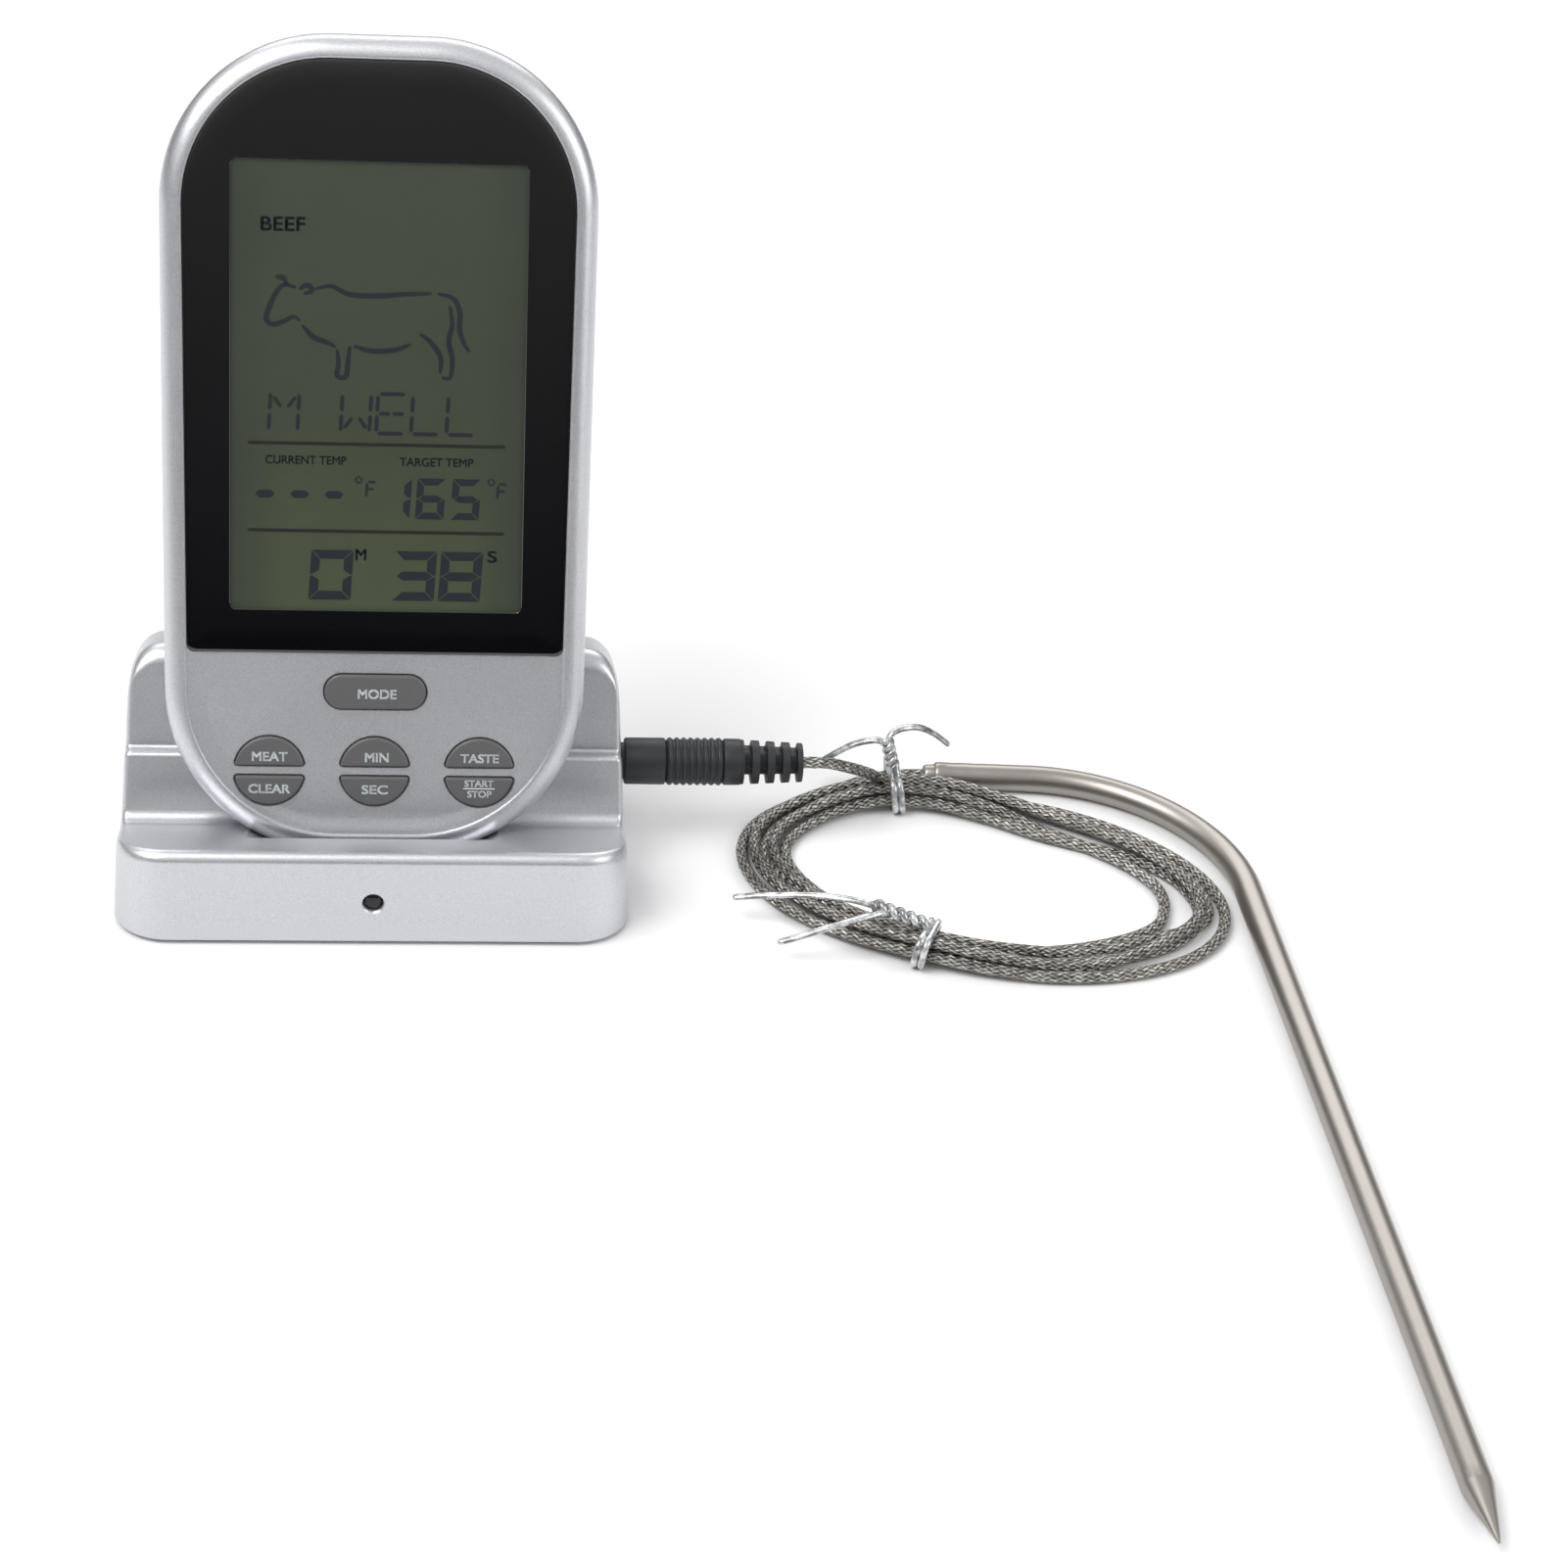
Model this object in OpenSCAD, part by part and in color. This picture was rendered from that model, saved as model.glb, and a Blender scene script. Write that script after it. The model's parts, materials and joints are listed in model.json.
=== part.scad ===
// Wireless meat thermometer: a handheld display leans in a charging-style dock that reads a wired
// food probe. Frame: X across, Y towards the back, Z up, origin under the middle of the dock.
// Receiver pieces are drawn in the receiver's own frame: x across, z up its face, -y out of its face.

/* [Receiver] */
// Width across the receiver's parallel sides
receiver_w = 70; // [68:0.5:72]
// Height of the receiver along its face
receiver_h = 133.4; // [130:0.2:138]
// Radius of the receiver's two top corners
top_r = 27; // [24:0.5:28]
// Radius of the receiver's rounded foot
foot_r = 28; // [26:0.5:29]
// Height of the rim in front of the parting plane
front_depth = 5.5; // [5.2:0.1:6.5]
// Depth of the rear cover behind the parting plane
rear_depth = 16.5; // [16.5:0.1:18]
// Thickness of the receiver's shells
shell = 1.8; // [1.6:0.1:2]
// Angle that the receiver leans back in the dock
lean = 19.25; // [17:0.25:21]

/* [Display] */
// Width of the visible display
display_w = 47.2; // [44:0.2:48]
// Height of the visible display
display_h = 72.4; // [68:0.2:73]
// Height of the display's lower edge above the foot
display_v = 41.3; // [41:0.1:43]
// Height of the lens's lower edge above the foot
lens_v = 34; // [33:0.5:35]

/* [Buttons] */
// Diameter of a split round button
button_d = 11.5; // [10:0.1:12]
// Gap between the two halves of a round button
button_split = 1.28; // [1.2:0.02:1.6]
// Distance between neighbouring round buttons
button_pitch = 17.2; // [16:0.1:18]
// Height of the round buttons' centres above the foot
button_v = 14.3; // [14:0.1:15]
// Width of the mode button
mode_w = 16.6; // [14:0.2:18]
// Height of the mode button
mode_h = 5.7; // [5:0.1:6]
// Height of the mode button's centre above the foot
mode_v = 27.7; // [27.5:0.1:28.5]
// How far a button presses in
button_travel = 0.8; // [0.5:0.1:0.8]

/* [Dock] */
// Width of the dock at its base
dock_w = 84.8; // [84:0.2:88]
// Depth of the dock
dock_d = 60; // [60:0.5:62]
// Thickness of the dock's walls
dock_wall = 1.8; // [1.6:0.1:2]
// Radius of the dock's corners seen from above
dock_corner = 9; // [7:0.5:10]
// Gap between the receiver and its pocket
pocket_gap = 0.4; // [0.3:0.05:0.5]

/* [Probe and cable] */
// Outside diameter of the probe's tube
probe_d = 4.8; // [4.6:0.1:5]
// Length from the end of the bend to the point
probe_straight = 157.5; // [140:0.5:170]
// Radius of the probe's bend
probe_bend_r = 35.8; // [35.5:0.1:37]
// Diameter of the braided cable
cable_d = 2; // [1.8:0.1:2.2]
// Diameter of the plug's handle
plug_d = 8.2; // [7.6:0.1:8.4]
// Length of the plug outside the dock
plug_l = 30.6; // [28:0.1:32]

/* [Hidden] */
$fn = 48;
eps = 0.01;

// Receiver: where its foot stands and how its outline closes
foot_y = -13.36;
foot_z = 8.03;
foot_cx = 6.3;
top_cx = receiver_w / 2 - top_r;
top_cv = receiver_h - top_r;
parting_gap = 0.2;
rim_w = 3.6;
face_off = 4.6;
face_t = 2;
lens_seat = 3.9;
lens_t = 1.2;
// [depth behind the parting plane, inset of the outline] of the rounded back
rear_steps = [[parting_gap, 0.25], [5, 1.4], [10, 3.6], [14, 6.6], [rear_depth, 10.5]];
// [depth in front of the parting plane, inset of the outline] of the rounded rim
front_steps = [[0, 0], [2, 0], [3.9, 0.7], [5, 1.8], [front_depth, 3]];

// Receiver: inner stack, as distances in front of the parting plane
glass_off = 0.2;
glass_t = 1.8;
glass_half = 25.4;
glass_v0 = 37.5;
glass_v1 = 117;
board_off = -3.4;
board_t = 1.2;
board_half = 26.2;
screw_x = 29;
screw_rows = [50, 100];
cell_r = 5.25;
cell_l = 43.3;
nub_r = 1.9;
nub_l = 1.2;
contact_t = 0.4;
receiver_cell_off = -9.3;
receiver_cell_rows = [44.4, 55.2];
lid_half = 24;
lid_v0 = 37;
lid_v1 = 62.6;
lid_t = 1.6;
clip_v = 112;
clip_off = -18.6;
clip_pin_r = 1.1;
fit = 0.05;

// Dock: heights along the receiver's plane
base_lift = 0.8;
tray_v = 3.65;
tray_off = -3;
ledge_v = 15.4;
block_off = -6;
block_v = 32.8;
block_back_off = -20;
block_corner = 7;
back_wall_z = 14;
lip_y = -29.2;
floor_t = 2.6;
pocket_wall = 1.5;
dock_cell_y = [12.1, 22.8];
dock_cell_z = 7.95;
door_half = 24;
door_y0 = 6.1;
led_z = 8.1;
led_r = 1.5;
boss_xy = [[-37, -21], [37, -21], [-37, 21], [37, 21]];
switch_x = -29.6;
switch_z = 8.7;

// Plug and jack: axis along X at the dock's right side
jack_y = 3;
jack_z = 15.5;
plug_face_x = 42.3;
jack_r = 1.25;
jack_pin_l = 11;
collar_l = 7;
rib_count = 8;
rib_pitch = 1.2;
band_l = 3.4;
relief_r = 3.35;
plug_end_x = plug_face_x + plug_l;
relief_x = plug_face_x + collar_l + rib_count * rib_pitch + band_l;

// Probe: tail, bend and straight shaft lie on the table
probe_r = probe_d / 2;
probe_wall = 0.4;
bend_c = [113.5, -16.6];
bend_a0 = 1.6;
bend_a1 = 87;
tail_l = 16.4;
tail_draw = 0.05;
ferrule_out = 2;
tip_l = 11;

// Coil: an oval hank of cable lying on the table, just inside the probe's bend
coil_c = [104, -12];
coil_a = 43.2;
coil_b = 28.2;
coil_band = 9;
coil_turn = -18;
coil_z = 1.3;
coil_h = 4.6;
tie_t = 1.1;

// Cable routes, points chosen along the sag from the plug to the coil, and from the coil to the probe
cable_route = [
    [72.9, 3, 15.5], [75, 3.4, 15.3], [78, 4.9, 14.2], [81, 7.1, 12.2],
    [84, 9.7, 9.8], [86.5, 11.9, 7.6], [89, 13.8, 5.6]
];
tail_route = [[85, 15.6, 3.6], [88, 17.2, 3.4], [91, 18.7, 3], [94, 19.7, 2.6], [97, 20.1, 2.4]];

// ---- Helpers ----

// Points along an arc from angle a0 to a1
function arc(cx, cy, r, a0, a1, n) =
    [for (i = [0:n]) let (a = a0 + (a1 - a0) * i / n) [cx + r * cos(a), cy + r * sin(a)]];

// The receiver's outline, moved inwards by inset
function receiver_outline(inset) = concat(
    arc(foot_cx, foot_r, foot_r - inset, -90, 0, 12),
    arc(top_cx, top_cv, top_r - inset, 0, 90, 12),
    arc(-top_cx, top_cv, top_r - inset, 90, 180, 12),
    arc(-foot_cx, foot_r, foot_r - inset, 180, 270, 12)
);

// A point given along the receiver's plane, as [y, z] in the dock's frame
function lean_pt(v, off) =
    [foot_y + v * sin(lean) - off * cos(lean), foot_z + v * cos(lean) + off * sin(lean)];

// Height at depth y of the dock surface that is square to the receiver at height v
function tray_z(v, y) = foot_z + v * cos(lean) + tan(lean) * (foot_y + v * sin(lean) - y);

// Puts receiver pieces in the dock
module in_dock() { translate([0, foot_y, foot_z]) rotate([-lean, 0, 0]) children(); }

// Extrudes a drawing of the receiver's face from off0 to off1 in front of the parting plane
module layer(off0, off1) {
    rotate([90, 0, 0]) translate([0, 0, off0]) linear_extrude(off1 - off0) children();
}

// A flat slab of the receiver's outline
module outline_layer(off0, off1, inset) { layer(off0, off1) polygon(receiver_outline(inset)); }

// A block given by its span across, up the face and out of the face
module face_box(x, v, off) {
    translate([x[0], -off[1], v[0]]) cube([x[1] - x[0], off[1] - off[0], v[1] - v[0]]);
}

// A round bar out of the face at x, v
module face_rod(x, v, r, off0, off1) { layer(off0, off1) translate([x, v]) circle(r); }

// A round bar across the receiver
module cross_rod(x0, x1, v, off, r) {
    translate([x0, -off, v]) rotate([0, 90, 0]) cylinder(r = r, h = x1 - x0);
}

// A round bar between two points
module rod(a, b, r) {
    d = b - a;
    translate(a) rotate([0, acos(d[2] / norm(d)), atan2(d[1], d[0])]) cylinder(r = r, h = norm(d));
}

// A bent wire through several points, thinner after each bend
module wire(points, r) {
    for (i = [0:len(points) - 2]) let (d = points[i + 1] - points[i])
        rod(points[i], points[i + 1] + d / norm(d) * r * 0.2, r * (1 - 0.16 * i));
}

// A rectangle with round corners, centred
module round_rect(w, h, r) {
    square([w - 2 * r, h], center = true);
    square([w, h - 2 * r], center = true);
    for (sx = [-1, 1]) for (sy = [-1, 1])
        translate([sx * (w / 2 - r), sy * (h / 2 - r)]) circle(r);
}

// One AAA cell along X with its nub at the +X end, from x = 0
module cell() {
    rotate([0, 90, 0]) cylinder(r = cell_r, h = cell_l);
    translate([cell_l - eps, 0, 0]) rotate([0, 90, 0]) cylinder(r = nub_r, h = nub_l + eps);
}

// Two cells head to tail, centred on x = 0, at the two [y, z] places given
module cell_pair(places) {
    half = (cell_l + nub_l) / 2;
    translate([-half, places[0][0], places[0][1]]) cell();
    translate([half, places[1][0], places[1][1]]) mirror([1, 0, 0]) cell();
}

// Spring and flat contacts at both ends of a pair of cells
module contact_pair(places) {
    half = (cell_l + nub_l) / 2;
    for (i = [0, 1]) for (s = [-1, 1]) {
        spring = (i == 0) == (s < 0);
        lift = spring ? 1 : 0;
        translate([s * (half + lift + contact_t / 2), places[i][0], places[i][1]])
            cube([contact_t, 8, 8], center = true);
        if (spring) translate([s * (half + lift / 2 + 0.03), places[i][0], places[i][1]])
            rotate([0, 90, 0]) cylinder(r = 2.8, h = lift + 0.04, center = true);
    }
}

// ---- Receiver covers ----

// The rounded outside of the receiver, grown by grow, in front of and behind the parting plane
module front_body(grow) {
    hull() for (s = front_steps) outline_layer(s[0] + grow - eps, s[0] + grow, s[1] - grow);
}
module rear_body(grow, steps) {
    hull() for (s = steps) outline_layer(-s[0] - grow, -s[0] - grow + eps, s[1] - grow);
}

// The room that the receiver takes in the dock, grown by grow: nested slabs that step in with depth
module pocket_body(grow) {
    for (i = [1:len(rear_steps) - 1])
        outline_layer(-rear_steps[i][0] - grow, front_depth + grow, (i == 1 ? 0 : rear_steps[i - 1][1]) - grow);
}

// Half of a round button: side is 1 for the upper half and -1 for the lower
module half_round(side, r, split) {
    intersection() {
        circle(r);
        translate([-r, side > 0 ? split / 2 : -split / 2 - r]) square([2 * r, r]);
    }
}

// Drawing of the mode button, grown by grow
module mode_shape(grow) {
    h = mode_h + 2 * grow;
    w = mode_w + 2 * grow;
    square([w - h, h], center = true);
    for (s = [-1, 1]) translate([s * (w - h) / 2, 0]) circle(h / 2);
}

// All button holes in the front cover
module button_holes() {
    for (c = [-1, 0, 1]) for (side = [-1, 1])
        translate([c * button_pitch, button_v])
            half_round(side, button_d / 2 + 0.15, button_split - 0.3);
    translate([0, mode_v]) mode_shape(0.15);
}

module receiver_front_cover() {
    color("silver") in_dock() difference() {
        union() {
            difference() {
                front_body(0);
                hull() {
                    outline_layer(-1, 1, shell);
                    outline_layer(face_off - face_t - eps, face_off - face_t, shell + 1.4);
                }
            }
            for (s = [-1, 1]) for (v = screw_rows) face_rod(s * screw_x, v, 2.1, -3.9, 3);
        }
        hull() {
            outline_layer(front_depth, front_depth + 1, rim_w - 0.2);
            outline_layer(face_off, face_off + eps, rim_w + 2.6);
        }
        intersection() {
            outline_layer(lens_seat, front_depth + 1, rim_w);
            face_box([-40, 40], [lens_v, 140], [0, 10]);
        }
        face_box([-display_w / 2 - 1, display_w / 2 + 1], [display_v - 1, display_v + display_h + 1],
                 [-1, 10]);
        layer(-1, front_depth + 1) button_holes();
        for (s = [-1, 1]) for (v = screw_rows) face_rod(s * screw_x, v, 0.9, -5, 1);
    }
}

module receiver_rear_cover() {
    inner_steps = [[-1, shell + 0.25], [5, shell + 1.4], [10, shell + 3.6], [13, shell + 6],
                   [rear_depth - shell, shell + 8.2]];
    color("silver") in_dock() {
        difference() {
            union() {
                difference() {
                    rear_body(0, rear_steps);
                    rear_body(0, inner_steps);
                }
                for (s = [-1, 1]) for (v = screw_rows) face_rod(s * screw_x, v, 2.6, -11, -4);
            }
            face_box([-lid_half - 0.2, lid_half + 0.2], [lid_v0 - 0.2, lid_v1 + 0.2], [-20, -14]);
            for (s = [-1, 1]) for (v = screw_rows) {
                face_rod(s * screw_x, v, 1.15, -20, 0);
                face_rod(s * screw_x, v, 2.2, -20, -9.5);
            }
        }
        for (s = [-1, 1]) difference() {
            union() {
                cross_rod(s * 7 - 1, s * 7 + 1, clip_v, clip_off, 2.2);
                face_box([s * 7 - 1, s * 7 + 1], [clip_v - 2.2, clip_v + 2.2], [clip_off, -rear_depth + 0.5]);
            }
            cross_rod(s * 7 - 2, s * 7 + 2, clip_v, clip_off, clip_pin_r);
        }
    }
}

// ---- Receiver display and electronics ----

module display_lens() {
    color([0.03, 0.03, 0.04]) in_dock() intersection() {
        outline_layer(lens_seat + 0.05, lens_seat + lens_t, rim_w + 0.1);
        face_box([-40, 40], [lens_v + 0.1, 140], [0, 10]);
    }
}

module display_glass() {
    color([0.36, 0.42, 0.33]) in_dock()
        face_box([-glass_half, glass_half], [glass_v0, glass_v1], [glass_off, glass_off + glass_t]);
}

module display_backlight() {
    color("whitesmoke") in_dock()
        face_box([-glass_half, glass_half], [glass_v0 + 4, glass_v1], [board_off + board_t + 0.3, glass_off]);
}

module display_frame() {
    color([0.2, 0.2, 0.21]) in_dock() difference() {
        face_box([-glass_half - 1.2, glass_half + 1.2], [glass_v0 - 1.2, glass_v1 + 1.2],
                 [board_off + board_t, 2.2]);
        face_box([-glass_half, glass_half], [glass_v0, glass_v1], [-5, 5]);
    }
}

module display_connector() {
    color("hotpink") in_dock()
        face_box([-24, 24], [glass_v0 + 0.5, glass_v0 + 3], [board_off + board_t, glass_off]);
}

module receiver_circuit_board() {
    color("darkgreen") in_dock() intersection() {
        outline_layer(board_off, board_off + board_t, 4.6);
        face_box([-board_half, board_half], [4, 122], [-10, 10]);
    }
}

module receiver_radio_module() {
    color("steelblue") in_dock() face_box([4, 20], [98, 110], [board_off - 2.4, board_off]);
}

module receiver_antenna() {
    color("goldenrod") in_dock() cross_rod(-18, 16, 116, board_off - 1, 1);
}

module buzzer() {
    color([0.12, 0.12, 0.12]) in_dock() difference() {
        face_rod(-12, 88, 6, board_off - 3.6, board_off);
        face_rod(-12, 88, 1, board_off - 5, board_off - 3);
    }
}

module keypad_membrane() {
    back = board_off + board_t;
    color([0.75, 0.75, 0.72]) in_dock() {
        face_box([-20, 20], [9, 32], [back, back + 0.9]);
        for (c = [-1, 0, 1]) for (s = [-1, 1])
            face_rod(c * button_pitch, button_v + s * 3, 1.6, back + 0.9, 0);
        for (s = [-1, 1]) face_rod(s * 4, mode_v, 1.6, back + 0.9, 0);
    }
}

module receiver_cells() {
    places = [for (v = receiver_cell_rows) [-receiver_cell_off, v]];
    color("royalblue") in_dock() cell_pair(places);
}

module receiver_cell_contacts() {
    places = [for (v = receiver_cell_rows) [-receiver_cell_off, v]];
    color("lightgray") in_dock() contact_pair(places);
}

module receiver_battery_lid() {
    color("silver") in_dock() difference() {
        union() {
            face_box([-lid_half, lid_half], [lid_v0 + 1, lid_v1], [-rear_depth, -rear_depth + lid_t]);
            cross_rod(-lid_half, lid_half, lid_v0 + 1, -rear_depth + lid_t / 2, lid_t / 2 + 0.1);
        }
        for (i = [0:3]) face_box([-7, 7], [lid_v1 - 8 + i * 1.6, lid_v1 - 7.2 + i * 1.6],
                                 [-rear_depth - 1, -rear_depth + 0.4]);
    }
}

module receiver_screws() {
    color("dimgray") in_dock() for (s = [-1, 1]) for (v = screw_rows) difference() {
        union() {
            face_rod(s * screw_x, v, 2, -10.9, -9.5);
            face_rod(s * screw_x, v, 0.85, -9.5 - eps, 0.5);
        }
        for (a = [0, 90]) translate([s * screw_x, 10.9, v]) rotate([0, a, 0])
            cube([2.4, 1.2, 0.5], center = true);
    }
}

// ---- Belt clip ----

module clip_pin() {
    color("gainsboro") in_dock() cross_rod(-8, 8, clip_v, clip_off, clip_pin_r);
}

module clip_spring() {
    color("gainsboro") in_dock() difference() {
        cross_rod(-5.7, -3.7, clip_v, clip_off, 1.9);
        cross_rod(-6, -3, clip_v, clip_off, clip_pin_r + 0.1);
    }
}

module belt_clip() {
    plate = [clip_off - 2.4, clip_off - 1];
    color("silver") in_dock() difference() {
        union() {
            layer(plate[0], plate[1]) {
                translate([-9, 83]) square([18, 33]);
                translate([0, 83]) circle(9);
                polygon([[-9, 116], [9, 116], [4.5, 121], [-4.5, 121]]);
                translate([-4.5, 121 - eps]) square([9, 8.2]);
            }
            cross_rod(-3.4, 5.7, clip_v, clip_off, 1.9);
            face_box([-3.4, 5.7], [clip_v - 1.9, clip_v + 1.9], [plate[1] - eps, clip_off]);
            face_box([-6, 6], [76, 77.6], [plate[1] - eps, -rear_depth - 0.4]);
            for (i = [-2:2]) face_box([i * 1.8 - 0.5, i * 1.8 + 0.5], [122, 129.2],
                                      [plate[0] - 0.7, plate[0] + eps]);
        }
        for (s = [-1, 1]) face_box([s * 7 - 1.4, s * 7 + 1.4], [clip_v - 3.6, clip_v + 3.6], [-30, 0]);
        cross_rod(-10, 10, clip_v, clip_off, clip_pin_r + fit);
        face_box([-6, -3.4], [clip_v - 2.8, clip_v + 2.8], [-30, 0]);
    }
}

// ---- Buttons ----

// A cap that shows through the cover, with a flange behind it and a stem that works the keypad
module button_stack(stem_x, stem_v) {
    back = face_off - face_t;
    color([0.36, 0.36, 0.37]) in_dock() {
        layer(back - 0.1, face_off + 0.6) children(0);
        layer(back - 1.2, back - 0.1 + eps) children(1);
        for (x = stem_x) face_rod(x, stem_v, 1.4, 0.1 + button_travel, back - 1.2 + eps);
    }
}

module round_button(column, side) {
    x = column * button_pitch;
    button_stack([x], button_v + side * 3) {
        translate([x, button_v]) half_round(side, button_d / 2, button_split);
        translate([x, button_v]) half_round(side, button_d / 2 + 0.9, 0.5);
    }
}

module mode_button() {
    button_stack([-4, 4], mode_v) {
        translate([0, mode_v]) mode_shape(0);
        translate([0, mode_v]) mode_shape(0.9);
    }
}

// ---- Dock ----

// Side view of the dock, moved inwards by t; bottom is its lower edge
function dock_side(t, bottom) = concat(
    [[-dock_d / 2 + t, bottom], [-dock_d / 2 + t, 3]],
    [[lip_y + t, tray_z(tray_v - t, lip_y + t) - 1.2]],
    [[lip_y + t + 0.45, tray_z(tray_v - t, lip_y + t) - 0.45]],
    [[lip_y + t + 1.5, tray_z(tray_v - t, lip_y + t + 1.5)]],
    [for (a = [0:30:90]) lean_pt(tray_v - t + 2 * (1 - cos(a)), tray_off - t + 2 * (1 - sin(a)))],
    [for (a = [0:30:90]) lean_pt(ledge_v - t - 1 + sin(a), tray_off - t - 1 + cos(a))],
    [for (a = [0:30:90]) lean_pt(block_v - t - 1.5 + 1.5 * sin(a), block_off - t - 1.5 + 1.5 * cos(a))],
    [for (a = [0:22.5:90]) lean_pt(block_v - t - 4 + 4 * cos(a), block_back_off + t + 4 - 4 * sin(a))],
    [[dock_d / 2 - t, back_wall_z], [dock_d / 2 - t, bottom]]
);

// The dock seen square to the receiver, with its sides drawn in towards the top
function dock_front(t) = let (top = block_v - t, half = dock_w / 2 - t, draft = 1.5) concat(
    [[half, -30], [half, -8]],
    arc(half - draft - block_corner, top - block_corner, block_corner, 0, 90, 6),
    arc(-half + draft + block_corner, top - block_corner, block_corner, 90, 180, 6),
    [[-half, -8], [-half, -30]]
);

// The dock's outside moved inwards by t
module dock_body(t, bottom) {
    intersection() {
        translate([-dock_w / 2, 0, 0]) rotate([90, 0, 90]) linear_extrude(dock_w)
            polygon(dock_side(t, bottom));
        in_dock() layer(-60, 60) polygon(dock_front(t));
        translate([0, 0, -1]) linear_extrude(60) round_rect(dock_w - 2 * t, dock_d - 2 * t, dock_corner - t);
    }
}

module dock_housing() {
    color("silver") difference() {
        union() {
            difference() {
                dock_body(0, base_lift);
                dock_body(dock_wall, -1);
            }
            intersection() {
                dock_body(0, floor_t + 0.1);
                union() {
                    in_dock() pocket_body(pocket_gap + pocket_wall);
                    for (p = boss_xy) translate([p[0], p[1], 0]) cylinder(r = 2.6, h = 40);
                }
            }
        }
        in_dock() pocket_body(pocket_gap);
        for (p = boss_xy) translate([p[0], p[1], 0]) cylinder(r = 1, h = 10);
        translate([0, -dock_d / 2 - 1, led_z]) rotate([-90, 0, 0]) cylinder(r = led_r + 0.15, h = 5);
        translate([dock_w / 2 - 5, jack_y, jack_z]) rotate([0, 90, 0]) cylinder(r = 3.4, h = 10);
        translate([-door_half - 1.1, dock_d / 2 - 5, 0]) cube([2 * door_half + 2.2, 10, 2.1]);
        translate([switch_x - 3.2, dock_d / 2 - 5, switch_z - 1.3]) cube([6.4, 10, 2.6]);
    }
}

module dock_bottom_cover() {
    inset = dock_wall + 0.15;
    wall_h = 10;
    color([0.62, 0.63, 0.65]) difference() {
        union() {
            linear_extrude(floor_t)
                round_rect(dock_w - 2 * inset - 1.8, dock_d - 2 * inset, dock_corner - inset);
            for (s = [-1, 1]) translate([s * 24.3 - 0.6, door_y0 + 1, 1]) cube([1.2, 20.8, wall_h]);
        }
        translate([-door_half - 0.15, door_y0 - 0.15, -1]) cube([2 * door_half + 0.3, 40, 1.95]);
        translate([-door_half - 1, door_y0 - 0.15, 0.9]) cube([2 * door_half + 2, 40, 1.1]);
        translate([-door_half + 0.5, door_y0 + 0.6, 1]) cube([2 * door_half - 1, 21, 5]);
        for (p = boss_xy) translate([p[0], p[1], -1]) {
            cylinder(r = 1.15, h = 5);
            cylinder(r = 2.3, h = 2.7);
        }
    }
}

module dock_battery_door() {
    color([0.62, 0.63, 0.65]) difference() {
        union() {
            translate([-door_half, door_y0, 0]) cube([2 * door_half, dock_d / 2 - 0.1 - door_y0, 1.85]);
            translate([-door_half - 0.85, door_y0, 1]) cube([2 * door_half + 1.7, 21.8, 0.85]);
        }
        for (i = [0:4]) translate([-8, 12 + i * 2, -1]) cube([16, 0.9, 1.5]);
    }
}

module dock_cells() {
    color("royalblue") cell_pair([for (y = dock_cell_y) [y, dock_cell_z]]);
}

module dock_cell_contacts() {
    color("lightgray") contact_pair([for (y = dock_cell_y) [y, dock_cell_z]]);
}

module dock_circuit_board() {
    color("darkgreen") in_dock() face_box([-31, 31], [16, 25.4], [-20.4, -19.2]);
}

module dock_radio_module() {
    color("steelblue") in_dock() face_box([-26, -8], [17.5, 24.5], [-21.8, -20.4]);
}

module dock_antenna() {
    color("goldenrod") in_dock() cross_rod(-4, 28, 22.5, -21.2, 0.8);
}

module status_led() {
    color([0.08, 0.06, 0.07]) translate([0, 0, led_z]) rotate([-90, 0, 0]) {
        translate([0, 0, -29.3]) cylinder(r = led_r, h = 4.5);
        translate([0, 0, -27.2]) cylinder(r = led_r + 0.4, h = 0.9);
    }
}

module led_board() {
    color("darkgreen") translate([-6, -24.8, 4]) cube([12, 1.2, 8.6]);
}

module dock_screws() {
    color("dimgray") for (p = boss_xy) translate([p[0], p[1], 0]) difference() {
        union() {
            translate([0, 0, 0.4]) cylinder(r = 2, h = 1.3);
            translate([0, 0, 1.7 - eps]) cylinder(r = 0.95, h = 7.3);
        }
        for (a = [0, 90]) rotate([0, 0, a]) translate([0, 0, 0.4]) cube([2.4, 0.5, 1.2], center = true);
    }
}

module power_switch_body() {
    color([0.15, 0.15, 0.16]) translate([switch_x - 4, 23.6, switch_z - 2.6]) cube([8, 4.4, 5.2]);
}

module power_switch_knob() {
    color([0.1, 0.1, 0.1]) difference() {
        translate([switch_x - 2.9, 28.1, switch_z - 1]) cube([2.8, 2.8, 2]);
        for (i = [0:2]) translate([switch_x - 2.5 + i * 0.8, 30.6, switch_z - 2]) cube([0.4, 1, 4]);
    }
}

module probe_jack() {
    color([0.13, 0.13, 0.14]) difference() {
        union() {
            translate([32, jack_y - 4, jack_z - 3.6]) cube([6.8, 8, 7.2]);
            translate([38.5, jack_y, jack_z]) rotate([0, 90, 0]) cylinder(r = 3.2, h = 3.4);
        }
        translate([27, jack_y, jack_z]) rotate([0, 90, 0]) cylinder(r = jack_r + fit, h = 20);
    }
}

module jack_contacts() {
    color("goldenrod") for (x = [33, 36.5])
        translate([x, jack_y - 0.8, jack_z - 5.6]) cube([1.2, 1.6, 2]);
}

// ---- Plug, cable and probe ----

module along_jack(x) { translate([x, jack_y, jack_z]) rotate([0, 90, 0]) children(); }

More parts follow.
